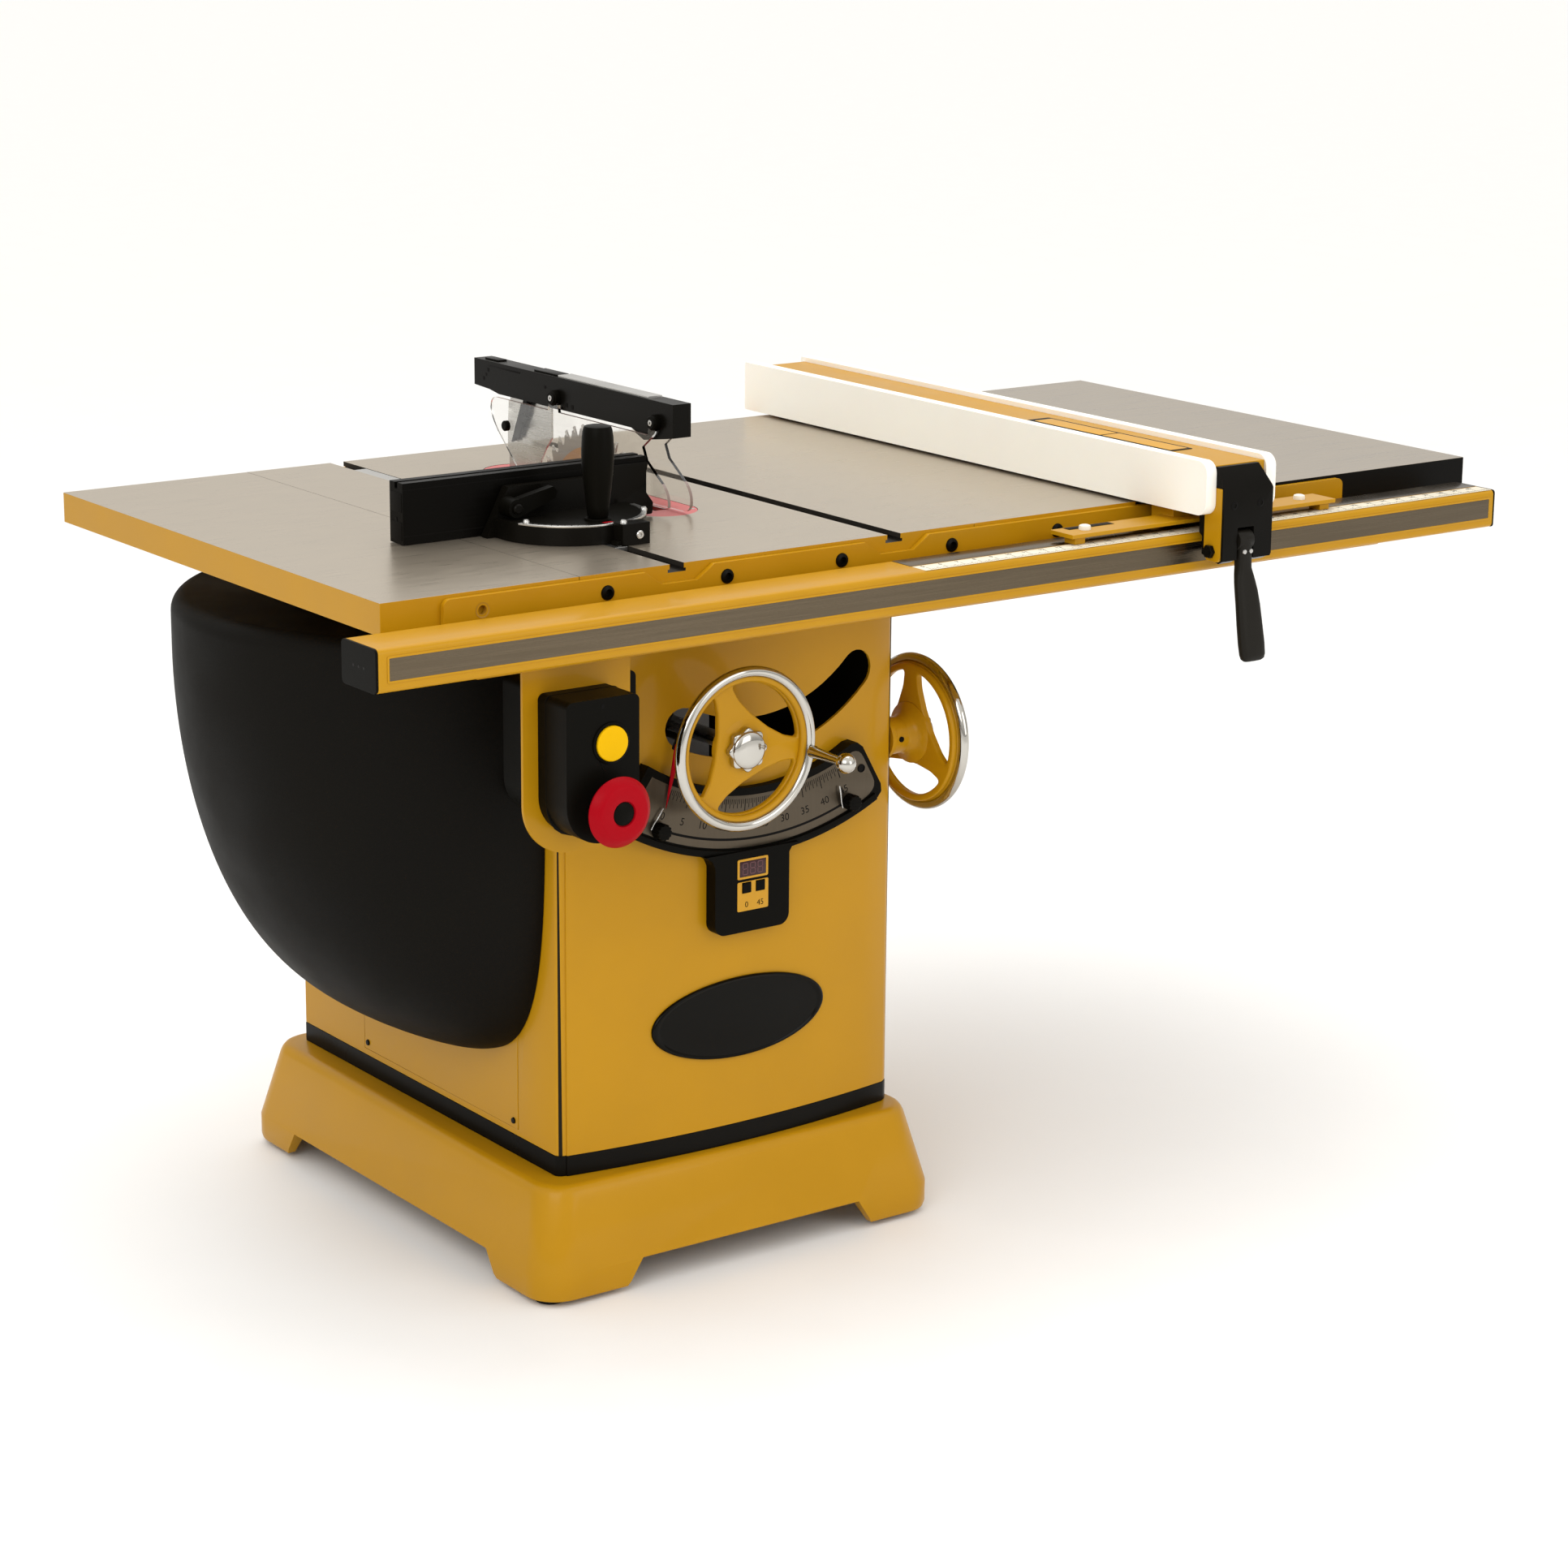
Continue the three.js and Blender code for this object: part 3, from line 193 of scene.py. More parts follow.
BLACK = surface("black_plastic", (0.0032, 0.0028, 0.0018), 0.42, spread=0.12, grain=700, bump=0.22,
    specular=0.045)
BLACK_PAINT = surface("black_paint", (0.0042, 0.0036, 0.0026), 0.30, spread=0.10, grain=380, bump=0.08,
    specular=0.07)
GLOSS_BLACK = surface("badge_black", (0.0034, 0.0028, 0.0017), 0.12, spread=0.05, bump=0.02, specular=0.09)
ANODISED = surface("black_anodised", (0.0022, 0.0019, 0.0014), 0.34, spread=0.10, stretch=(1, 30, 30),
    grain=200, specular=0.05)
RUBBER = surface("rubber", (0.006, 0.006, 0.006), 0.75, spread=0.2, grain=300, bump=0.4, specular=0.2)
RED = surface("red_plastic", (0.33, 0.001, 0.0065), 0.38, spread=0.05, grain=500, bump=0.06, specular=0.06)
RED_COAT = surface("red_insert_coat", (0.62, 0.085, 0.085), 0.34, 0.2, spread=0.06, grain=300, bump=0.1)
START = surface("start_plastic", (0.74, 0.42, 0.0008), 0.32, spread=0.04, bump=0.04, specular=0.06)
WHITE = surface("white_polyethylene", (0.93, 0.90, 0.82), 0.40, spread=0.012, grain=240, bump=0.05,
    Subsurface_Weight=0.25, Subsurface_Radius=(0.012, 0.010, 0.008), specular=0.35)
NYLON = surface("white_nylon", (0.80, 0.76, 0.66), 0.4, spread=0.03)
TAPE = surface("white_tape", (0.74, 0.68, 0.54), 0.38, spread=0.03, stretch=(6, 1, 1), specular=0.3)
INK = surface("printed_ink", (0.004, 0.0035, 0.003), 0.5, spread=0.1, specular=0.06)
# painted shade: near black on the cabinet's inner walls, standing for the shade inside the cabinet
INTERIOR_PAINTED_SHADE = surface("interior_painted_shade", (0.012, 0.009, 0.004), 0.6, spread=0.1, specular=0.1)
LAMINATE = surface("laminate_top", (0.30, 0.26, 0.21), 0.32, 0.3, spread=0.08, stretch=(1, 14, 1), scale=11,
    grain=360, bump=0.14)
LAMINATE_EDGE = surface("black_edge_band", (0.003, 0.0026, 0.002), 0.42, spread=0.15, specular=0.07)
SCALE_GREY = surface("scale_plate", (0.082, 0.064, 0.043), 0.34, 0.75, spread=0.05, stretch=(30, 1, 1),
    grain=140)
GOLD = surface("label_gold", (0.54, 0.27, 0.010), 0.4, spread=0.05, specular=0.3)
DISPLAY = surface("display_window", (0.035, 0.008, 0.010), 0.14, spread=0.1, specular=0.3)
SEGMENT = surface("display_segment", (0.11, 0.03, 0.035), 0.3, spread=0.1)
ORANGE = surface("blade_label", (0.50, 0.24, 0.07), 0.5, spread=0.08)
TOOTH = surface("carbide_tooth", (0.82, 0.80, 0.75), 0.35, 0.1, spread=0.05)
BLADE = surface("blade_steel", (0.34, 0.31, 0.28), 0.34, 0.9, spread=0.08, scale=30)
LEVER = surface("lever_plastic", (0.0105, 0.009, 0.0066), 0.46, spread=0.1, grain=600, bump=0.2,
    specular=0.12)
MOTOR = surface("motor_enamel", (0.018, 0.018, 0.019), 0.4, spread=0.1, grain=240, bump=0.3)


def clear(name, tint, rough, weight):
    """A clear plastic; weight is the share of light it lets through."""
    return surface(name, tint, rough, spread=0.01, bump=0.0, rough_spread=0.01, Transmission_Weight=weight,
        IOR=1.45)


CLEAR = clear("clear_polycarbonate", (0.93, 0.92, 0.90), 0.03, 1.0)
# a darker, brownish copy of the clear plastic: painted shade on the shields' bent edges
CLEAR_EDGE_SHADED = clear("polycarbonate_edge_painted_shade", (0.52, 0.38, 0.33), 0.18, 0.55)

SLOTS = {look.name: slot for slot, looks in (
    ("yellow_paint", (YELLOW, YELLOW_SHADED_RECESS)),
    ("steel", (STEEL, BRUSHED, SCALE_GREY, BLADE, ORANGE, TOOTH)),
    ("uhmw", (WHITE, NYLON, TAPE)),
    ("black_metal", (BLACK_PAINT, MOTOR)),
    ("black_plastic", (BLACK, COVER, LEVER, GLOSS_BLACK, INK, DISPLAY, SEGMENT)),
    ("start_yellow", (GOLD,)),
    ("red_plastic", (RED,)),
    ("clear_plastic", (CLEAR,)),
) for look in looks}


# ---- CAD nodes: welded, smoothed, edges eased
def smoothing_group():
    group = bpy.data.node_groups.new("smooth_by_angle", "GeometryNodeTree")
    group.interface.new_socket("Geometry", in_out="INPUT", socket_type="NodeSocketGeometry")
    group.interface.new_socket("Geometry", in_out="OUTPUT", socket_type="NodeSocketGeometry")
    start = group.nodes.new("NodeGroupInput")
    end = group.nodes.new("NodeGroupOutput")
    faces = group.nodes.new("GeometryNodeSetShadeSmooth")
    faces.domain = "FACE"
    soft = group.nodes.new("GeometryNodeSetShadeSmooth")
    soft.domain = "EDGE"
    sharp = group.nodes.new("GeometryNodeSetShadeSmooth")
    sharp.domain = "EDGE"
    sharp.inputs["Shade Smooth"].default_value = False
    angle = group.nodes.new("GeometryNodeInputMeshEdgeAngle")
    compare = group.nodes.new("FunctionNodeCompare")
    compare.operation = "GREATER_THAN"
    compare.inputs["B"].default_value = rad(34)
    group.links.new(start.outputs[0], faces.inputs["Geometry"])
    group.links.new(faces.outputs[0], soft.inputs["Geometry"])
    group.links.new(soft.outputs[0], sharp.inputs["Geometry"])
    group.links.new(angle.outputs["Unsigned Angle"], compare.inputs["A"])
    group.links.new(compare.outputs["Result"], sharp.inputs["Selection"])
    group.links.new(sharp.outputs[0], end.inputs[0])
    return group


SMOOTH = smoothing_group()


def dress(node, materials, ease=0.0, segments=2, pick=None):
    """Gives a CAD node its materials, welds and smooths it, and eases its edges by a radius in mm."""
    piece = NODES[node]
    data = piece.data
    if "custom_normal" in data.attributes:
        data.attributes.remove(data.attributes["custom_normal"])
    data.materials.clear()
    for material in materials if isinstance(materials, list) else [materials]:
        data.materials.append(material)
    if pick:
        for polygon in data.polygons:
            polygon.material_index = pick(polygon)
    weld = piece.modifiers.new("weld", "WELD")
    weld.merge_threshold = 0.00002
    smooth = piece.modifiers.new("smooth", "NODES")
    smooth.node_group = SMOOTH
    if ease:
        bevel = piece.modifiers.new("ease", "BEVEL")
        bevel.width = ease * MM
        bevel.segments = segments
        bevel.limit_method = "ANGLE"
        bevel.angle_limit = rad(38)
        bevel.harden_normals = True
        bevel.miter_outer = "MITER_ARC"


shell_low, shell_high = in_mm("cabinet_shell")
CAB_LEFT, CAB_RIGHT, CAB_BACK = shell_low.x, shell_high.x, shell_high.y
BOW = 21.5  # how far the cabinet's front bulges
BOW_R = ((CAB_RIGHT - CAB_LEFT) ** 2 / 4 + BOW ** 2) / (2 * BOW)


def bow(x):
    """The y of the bowed front at x."""
    return shell_low.y + BOW_R - math.sqrt(BOW_R ** 2 - (x - (CAB_LEFT + CAB_RIGHT) / 2) ** 2)


def outer_skin(polygon):
    """Ground iron on the working faces; near-black iron on the joints and, as painted shade, inside the slots
    and pocket; paint elsewhere.
    """
    x, y, z = centre_mm(polygon)
    if polygon.normal.z > 0.9 and z > TOP - 1:
        return 0
    if abs(polygon.normal.x) > 0.9 and 250 < x < 816 and not 370 < x < 700:
        return 1
    inside = 3 < y < 772 and z > TOP - 16
    in_slot = any(abs(x - slot_x) < 13 for slot_x in MITER_SLOTS)
    return 1 if inside and (in_slot or abs(x - POCKET_X) < 47) else 2


def cabinet_faces(polygon):
    """Paint outside; the inside of the 4 mm walls is near black, painted shade for the dark inside of the
    cabinet.
    """
    x, y, _ = centre_mm(polygon)
    skin = 3.2
    return 1 if CAB_LEFT + skin < x < CAB_RIGHT - skin and bow(x) + skin < y < CAB_BACK - skin else 0


def block_black(polygon):
    """The miter bar is bare steel in its slot, and its pointer block above the table is painted."""
    return 1 if centre_mm(polygon).z > TOP + 0.2 else 0


def slab_top(polygon):
    """Laminate on the upper face, edge band all round."""
    return 0 if polygon.normal.z > 0.9 else 1


def sheet_edge(polygon):
    """The shields' bent top and front edges get a darker, brownish copy of the clear plastic: painted shade
    for how they look thicker and darker than the rest.
    """
    _, y, z = centre_mm(polygon)
    if abs(polygon.normal.x) > 0.7:
        return 0
    return 1 if 960 < z < 972 and polygon.normal.z > 0.5 or y < 246 and z < 935 else 0


def top_strip(polygon):
    """The guard arm's steel strip lies on top of the painted channel."""
    return 1 if centre_mm(polygon).z > ARM_TOP + 0.3 else 0


for wing in ("table_main", "wing_left", "wing_right"):
    dress(wing, [IRON, IRON_JOINT_AND_SHADE, YELLOW], 0.9, 2, outer_skin)
dress("extension_table", [LAMINATE, LAMINATE_EDGE], 1.2, 2, slab_top)
for shield in ("shield_left", "shield_right"):
    dress(shield, [CLEAR, CLEAR_EDGE_SHADED], 0, 0, sheet_edge)
dress("guard_arm", [BLACK_PAINT, STEEL], 0.7, 2, top_strip)
dress("miter_bar", [STEEL, BLACK_PAINT], 0.5, 2, block_black)
dress("cabinet_shell", [YELLOW, INTERIOR_PAINTED_SHADE], 0.8, 2, cabinet_faces)
for names, material, ease, segments in (
    ("base_casting", YELLOW, 1.6, 3),
    ("side_panel", YELLOW, 0.8, 2),
    ("front_rail_angle switch_plate rear_rail fence_body", YELLOW, 1.1, 2),
    ("fence_rail", YELLOW, 0.8, 2),
    ("foot_front_left foot_front_right foot_rear_left foot_rear_right", RUBBER, 1.2, 2),
    ("plinth_band", BLACK_PAINT, 0.6, 2),
    ("dust_port rail_cap_left cover_latch", BLACK, 1.0, 2),
    ("bevel_housing", BLACK, 3.0, 3),
    ("switch_box", BLACK, 3.5, 3),
    ("set_button_zero set_button_full bevel_stop_low bevel_stop_high", BLACK, 0.8, 2),
    ("start_button", START, 1.6, 3),
    ("throat_insert", RED_COAT, 0.4, 2),
    ("fence_board_left fence_board_right", WHITE, 2.6, 4),
    ("fence_head", BLACK_PAINT, 1.4, 2),
    ("riving_knife motor_shaft arbor_shaft arbor_nut", STEEL, 0.5, 2),
    ("miter_head kickback_pawls", BLACK_PAINT, 1.2, 2),
    ("miter_fence", ANODISED, 0.6, 2),
    ("miter_clamp", BLACK, 2.0, 3),
    ("motor_body", MOTOR, 2.0, 2),
    ("drive_belt", RUBBER, 0.5, 2),
    ("trunnion_bracket_front trunnion_bracket_rear trunnion_cradle arbor_bracket", RAW_IRON, 1.5, 2),
):
    for node_name in names.split():
        dress(node_name, material, ease, segments)


# ---- piece makers
def add(name, bm, body, material, sharp=35, replaces=(), slot=None):
    """Adds a piece that rides on a body; its slot, the material's own unless another is named, is looked up
    but not kept.
    """
    bmesh.ops.recalc_face_normals(bm, faces=bm.faces)
    data = bpy.data.meshes.new(name)
    bm.to_mesh(data)
    bm.free()
    data.materials.append(material)
    data.polygons.foreach_set("use_smooth", [True] * len(data.polygons))
    data.set_sharp_from_angle(angle=rad(sharp))
    piece = bpy.data.objects.new(name, data)
    scene.collection.objects.link(piece)
    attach(piece, body)
    slot or SLOTS[material.name]
    if replaces:
        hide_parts(*replaces)
    return piece


def block(low, high, ease=0.5, segments=2):
    """A block between two corners in mm, all its edges rounded."""
    bm = bmesh.new()
    bmesh.ops.create_cube(bm, size=1)
    a, b = W(*low), W(*high)
    for v in bm.verts:
        v.co = Vector([a[k] + (b[k] - a[k]) * (v.co[k] + 0.5) for k in range(3)])
    if ease:
        bmesh.ops.bevel(bm, geom=list(bm.edges), offset=ease * MM, segments=segments, affect="EDGES",
            profile=0.5)
    return bm


def bridge(bm, lower, upper):
    """The faces between two closed rings, either of which may be a single point."""
    steps = max(len(lower), len(upper))
    if steps == 1:
        return
    for i in range(steps):
        j = (i + 1) % steps
        if len(lower) == 1:
            bm.faces.new((lower[0], upper[i], upper[j]))
        elif len(upper) == 1:
            bm.faces.new((lower[i], lower[j], upper[0]))
        else:
            bm.faces.new((lower[i], lower[j], upper[j], upper[i]))


def lathe(profile, axis, centre, steps=48):
    """A turned body: (radius, distance along the axis) pairs in mm, from axis to axis."""
    bm = bmesh.new()
    cx, cy, cz = centre
    place = {
        "x": lambda r, h, a: W(cx + h, cy + r * math.cos(a), cz + r * math.sin(a)),
        "y": lambda r, h, a: W(cx + r * math.cos(a), cy + h, cz + r * math.sin(a)),
        "z": lambda r, h, a: W(cx + r * math.cos(a), cy + r * math.sin(a), cz + h),
    }[axis]
    rings = []
    for r, h in profile:
        rings.append([bm.verts.new(place(r, h, a)) for a in angles(steps if r else 1)])
    for lower, upper in zip(rings, rings[1:]):
        bridge(bm, lower, upper)
    return bm


def curve_mesh(curve):
    temporary = bpy.data.objects.new("outline", curve)
    scene.collection.objects.link(temporary)
    bpy.context.view_layer.update()
    data = bpy.data.meshes.new_from_object(temporary.evaluated_get(bpy.context.evaluated_depsgraph_get()))
    bpy.data.objects.remove(temporary)
    bm = bmesh.new()
    bm.from_mesh(data)
    bmesh.ops.remove_doubles(bm, verts=bm.verts, dist=1e-6)
    return bm


def outline(loops, axis, start, end, ease=0.4, steps=2):
    """Flat outlines in mm (the first one outside, the rest holes), given depth along an axis."""
    curve = bpy.data.curves.new("outline", "CURVE")
    curve.dimensions = "2D"
    curve.fill_mode = "BOTH"
    curve.extrude = max(0.0, (end - start) / 2 - ease) * MM
    curve.bevel_depth = ease * MM
    curve.offset = -ease * MM
    curve.bevel_resolution = steps
    for loop in loops:
        spline = curve.splines.new("POLY")
        spline.points.add(len(loop) - 1)
        for point, (a, b) in zip(spline.points, loop):
            point.co = (a * MM, b * MM, 0, 1)
        spline.use_cyclic_u = True
    bm = curve_mesh(curve)
    middle = (start + end) / 2
    for v in bm.verts:
        a, b, c = v.co / MM
        v.co = {"x": W(middle + c, a, b), "y": W(a, middle + c, b), "z": W(a, b, middle + c)}[axis]
    return bm


def rod(points, radius):
    """A round rod through points given in mm."""
    curve = bpy.data.curves.new("wire", "CURVE")
    curve.dimensions = "3D"
    curve.bevel_depth = radius * MM
    curve.bevel_resolution = 4
    curve.use_fill_caps = True
    spline = curve.splines.new("POLY")
    spline.points.add(len(points) - 1)
    for point, place in zip(spline.points, points):
        point.co = (*W(*place), 1)
    return curve_mesh(curve)


def letters(words, size, origin, across, upwards, thick=0.12):
    """Raised print: its middle at origin (mm), reading along across with its head upwards."""
    curve = bpy.data.curves.new("print", "FONT")
    curve.body = words
    curve.size = size * MM
    curve.extrude = thick * MM
    curve.align_x = "CENTER"
    curve.align_y = "CENTER"
    curve.resolution_u = 3
    bm = curve_mesh(curve)
    across, upwards = Vector(across).normalized(), Vector(upwards).normalized()
    out = across.cross(upwards)
    place = W(*origin)
    for v in bm.verts:
        v.co = place + across * v.co.x + upwards * v.co.y + out * v.co.z
    return bm


def merge(bms):
    """One mesh of several."""
    whole = bms[0]
    for extra in bms[1:]:
        data = bpy.data.meshes.new("part")
        extra.to_mesh(data)
        extra.free()
        whole.from_mesh(data)
        bpy.data.meshes.remove(data)
    return whole


def angles(steps):
    """Evenly spaced angles round a full turn."""
    return [2 * math.pi * i / steps for i in range(steps)]


def circle(cx, cy, r, steps=48):
    return [(cx + r * math.cos(a), cy + r * math.sin(a)) for a in angles(steps)]


def lobed(cx, cy, r, depth, lobes, steps):
    """A circle whose radius swings by depth, lobes times in a turn, like a knurled or fluted knob."""
    return [(cx + (r + depth * math.cos(lobes * a)) * math.cos(a),
             cy + (r + depth * math.cos(lobes * a)) * math.sin(a)) for a in angles(steps)]


def rounded(corners, radius, steps=6):
    """A polygon with its corners rounded; radius is one number or one for each corner."""
    out = []
    count = len(corners)
    for i in range(count):
        r = radius[i] if isinstance(radius, (list, tuple)) else radius
        p0, p1, p2 = (Vector(corners[(i + k - 1) % count]) for k in range(3))
        a, b = (p0 - p1), (p2 - p1)
        reach = min(r / math.tan(a.angle(b) / 2), a.length * 0.48, b.length * 0.48)
        s, e = p1 + a.normalized() * reach, p1 + b.normalized() * reach
        for k in range(steps + 1):
            t = k / steps
            out.append(tuple(s * (1 - t) ** 2 + p1 * 2 * t * (1 - t) + e * t * t))
    return out


def box_loop(a0, a1, b0, b1, r):
    return rounded([(a0, b0), (a1, b0), (a1, b1), (a0, b1)], r)


def about_pivot(r, degrees):
    return PIVOT_X + r * math.sin(rad(degrees)), TOP - r * math.cos(rad(degrees))


def about_miter(r, degrees):
    return MITER_X + r * math.cos(rad(degrees)), MITER_Y + r * math.sin(rad(degrees))


def sector(at, r0, r1, a0, a1, steps=60):
    """Part of a flat ring; at gives the point for a radius and an angle in degrees."""
    outer = [at(r1, a0 + (a1 - a0) * i / steps) for i in range(steps + 1)]
    return outer + [at(r0, a1 - (a1 - a0) * i / steps) for i in range(steps + 1)]


def facing(profile, sign):
    """A lathe profile, turned round along its axis when sign is -1."""
    return [(r, h * sign) for r, h in profile]


# ---- rails
rail_low, rail_high = in_mm("fence_rail")
strip = box_loop(rail_low.x + 13, rail_high.x - 8, 815, 839.5, 1.0)
add("rail_strip", outline([strip], "y", rail_low.y - 0.7, rail_low.y + 0.1, 0.2), "stand", BRUSHED)
border = box_loop(rail_low.x + 10.5, rail_high.x - 5.5, 812.5, 842, 2.0)
add("rail_strip_border", outline([border, strip], "y", rail_low.y - 0.9, rail_low.y + 0.1, 0.3), "stand",
    YELLOW)
cap_loop = box_loop(rail_low.y, rail_high.y, rail_low.z, rail_high.z, 5)
add("rail_cap_right", outline([cap_loop], "x", rail_high.x + 0.2, rail_high.x + 3.2, 0.8), "stand", BLACK)
dimple = [(0, 0), (1.7, 0), (1.7, -0.04), (0, -0.04)]
add("rail_cap_dimples", merge([lathe(dimple, "x", (rail_low.x - 3.3, -76 + 11 * k, 826), 16)
                               for k in range(3)]), "stand", GLOSS_BLACK)
TAPE_FROM, TAPE_TO = 663, rail_high.x - 2
add("rule_tape", block((TAPE_FROM, -98, rail_high.z - 0.1), (TAPE_TO, -73, rail_high.z + 0.4), 0.15),
    "stand", TAPE)
add("rule_slide_strip", block((TAPE_FROM, -70, rail_high.z - 0.1), (TAPE_TO, -34, rail_high.z + 0.5), 0.15),
    "stand", BRUSHED)
INCH, RULE_ZERO = 25.4, 546.6
marks = []
prints = []
first = int((TAPE_FROM - RULE_ZERO) / INCH) + 1
last = int((TAPE_TO - RULE_ZERO) / INCH)
rule_z = rail_high.z + 0.4
for inch in range(first, last + 1):
    for eighth in range(8):
        x = RULE_ZERO + INCH * (inch + eighth / 8)
        if x > TAPE_TO - 2:
            continue
        length = 12 if eighth == 0 else 8 if eighth == 4 else 4.5
        marks.append(block((x - 0.3, -97, rule_z - 0.1), (x + 0.3, -97 + length, rule_z + 0.12), 0))
    if RULE_ZERO + INCH * inch < TAPE_TO - 8:
        prints.append(letters(str(inch), 9, (RULE_ZERO + INCH * inch, -79, rule_z), (1, 0, 0), (0, 1, 0)))
add("rule_marks", merge(marks), "stand", INK)
add("rule_numbers", merge(prints), "stand", INK)
HOLE_X, HOLE_PITCH, HOLE_Z = 123.6, 162.3, 853.3  # the rail's holes; the first one has no screw in it
screw = [(0, -5.8), (4, -5.8), (4.6, -10.6), (7.8, -9.6), (8.6, -8), (8.6, -7.1), (5, -7.1), (5, -1), (0, -1)]
add("rail_screws", merge([lathe(screw, "y", (HOLE_X + HOLE_PITCH * k, 0, HOLE_Z), 28) for k in range(1, 8)]),
    "stand", BLACK_PAINT)
# the empty hole's lip in the darker yellow: painted shade in the hole
bushing = [(5.4, -1), (5.4, -7.0), (9.0, -7.6), (8.6, -7.3), (5.2, -6.8), (5.2, -1), (5.4, -1)]
add("rail_empty_hole", lathe(bushing, "y", (HOLE_X, 0, HOLE_Z), 28), "stand", YELLOW_SHADED_RECESS)


# ---- cabinet front: badge, scale, readout
def badge(name, half_x, half_z, cx, cz, profile, material):
    """A domed oval on the bowed front: (share of the half axes, stand-off in mm) rings."""
    bm = bmesh.new()
    rings = []
    for share, out in profile:
        ring = []
        for a in angles(72 if share else 1):
            x, z = cx + half_x * share * math.cos(a), cz + half_z * share * math.sin(a)
            ring.append(bm.verts.new(W(x, bow(x) - out, z)))
        rings.append(ring)
    for lower, upper in zip(rings, rings[1:]):
        bridge(bm, lower, upper)
    bm.faces.new(rings[0])
    add(name, bm, "stand", material, 50)


badge("oval_badge", 125, 49.5, 516, 299,
      [(1.0, 0.2), (1.0, 2.6), (0.992, 3.8), (0.975, 4.6), (0.95, 4.4), (0.93, 3.4), (0.91, 3.2), (0.6, 5.0),
       (0.3, 5.8), (0, 6.0)], GLOSS_BLACK)

ZERO, DEGREE = -24.5, 1.015  # the scale's zero, degrees from straight down, and its spacing
arc_front = in_mm("bevel_stop_low")[1].y + 0.3


def plate_with_round_end(r0, r1, a0, a1, corner):
    """A sector about the tilt axis, its two right-hand corners rounded."""
    loop = sector(about_pivot, r0, r1, a0, a1)
    count = len(loop) // 2
    cut_outer, cut_inner = math.degrees(corner / r1), math.degrees(corner / r0)
    outer = [about_pivot(r1, a0 + (a1 - cut_outer - a0) * i / count) for i in range(count)]
    inner = [about_pivot(r0, a1 - cut_inner - (a1 - cut_inner - a0) * i / count) for i in range(count)]

    def turn(start, corner_at, end):
        s, c, e = Vector(start), Vector(corner_at), Vector(end)
        return [tuple(s * (1 - t) ** 2 + c * 2 * t * (1 - t) + e * t * t)
            for t in (0.2, 0.4, 0.6, 0.8, 1.0)]

    lower = turn(outer[-1], about_pivot(r1, a1), about_pivot(r1 - corner, a1))
    upper = turn(about_pivot(r0 + corner, a1), about_pivot(r0, a1), inner[0])
    return outer + lower + [about_pivot(r0 + corner, a1)] + upper + inner[1:]


HOLE_AT = about_pivot(327.4, 26.8)
plate_loop = plate_with_round_end(301, 364, -31.8, 28.4, 16)
add("scale_plate", outline([plate_loop, circle(*HOLE_AT, 5.2, 24)], "y", arc_front - 0.24, arc_front + 0.2,
    0.05), "stand", SCALE_GREY)
add("scale_hole", lathe([(0, 0), (5.0, 0), (5.0, -1.2), (4.2, -1.2), (4.0, -0.4), (0, -0.4)], "y",
    (HOLE_AT[0], arc_front, HOLE_AT[1]), 24), "stand", INK)
face = arc_front - 0.24
groove = sector(about_pivot, 352, 355, ZERO + 0.2, ZERO + 46.6)
add("scale_groove", outline([groove], "y", face - 0.04, face + 0.1, 0.02), "stand", INK)
rim = sector(about_pivot, 366, 375, -32.9, 27.2)
add("scale_rim", outline([rim], "y", arc_front - 3.4, arc_front + 1, 1.6, 3), "stand", BLACK)
ticks = []
for half_degree in range(91):
    degree = half_degree / 2
    outer = 321 if degree % 5 == 0 else 316 if degree == int(degree) else 311
    width = 0.11 if degree % 5 == 0 else 0.08
    middle = ZERO + DEGREE * degree
    loop = sector(about_pivot, 305, outer, middle - width, middle + width, 1)
    ticks.append(outline([loop], "y", face - 0.04, face + 0.05, 0))
add("scale_ticks", merge(ticks), "stand", INK)
numbers = []
for degree in range(0, 46, 5):
    a = ZERO + DEGREE * degree
    x, z = about_pivot(338, a)
    numbers.append(letters(str(degree), 13, (x, face, z), (math.cos(rad(a)), 0, math.sin(rad(a))),
        (-math.sin(rad(a)), 0, math.cos(rad(a))), 0.035))
add("scale_numbers", merge(numbers), "stand", INK)

# the red pointer rides on the cradle, in front of the plate
pointer = [about_pivot(r, a) for r, a in ((328, -24.7), (262, -26.6), (255, -26.4), (250, -27.6),
                                          (255, -28.9), (262, -28.6))]
add("red_pointer", outline([pointer], "y", face - 3.2, face - 1.6, 0.2), "cradle", RED)
arm_x, arm_z = about_pivot(246, -27.6)
stalk = lathe([(0, face - 1.7), (4.2, face - 1.7), (4.2, 116), (0, 116)], "y", (arm_x, 0, arm_z), 20)
foot = [about_pivot(r, a) for r, a in ((241, -29.4), (241, -25.8), (262, -26.0), (262, -29.2))]
add("pointer_arm", merge([stalk, outline([rounded(foot, 2.5)], "y", face - 1.6, face + 0.2, 0.3)]), "cradle",
    BLACK_PAINT)

# wire clips over the two bevel stops
for stop, angle in (("bevel_stop_low", -24.2), ("bevel_stop_high", 21.4)):
    y = face - 4
    bends = [(357, -1.9, 2), (349, -2.0, 0), (338, -1.6, 0), (329, -1.2, 1.6)]
    wire = []
    for r, lead, back in bends:
        x, z = about_pivot(r, angle + lead)
        wire.append((x, y + back, z))
    add(stop + "_clip", rod(wire, 1.0), stop, STEEL)
    low, centre = in_mm(stop)[0], middle_of(stop)
    knob = outline([lobed(centre.x, centre.z, 9.4, 0.7, 12, 72)], "y", low.y - 0.4, low.y + 11, 1.2, 3)
    add(stop + "_knob", knob, stop, BLACK)

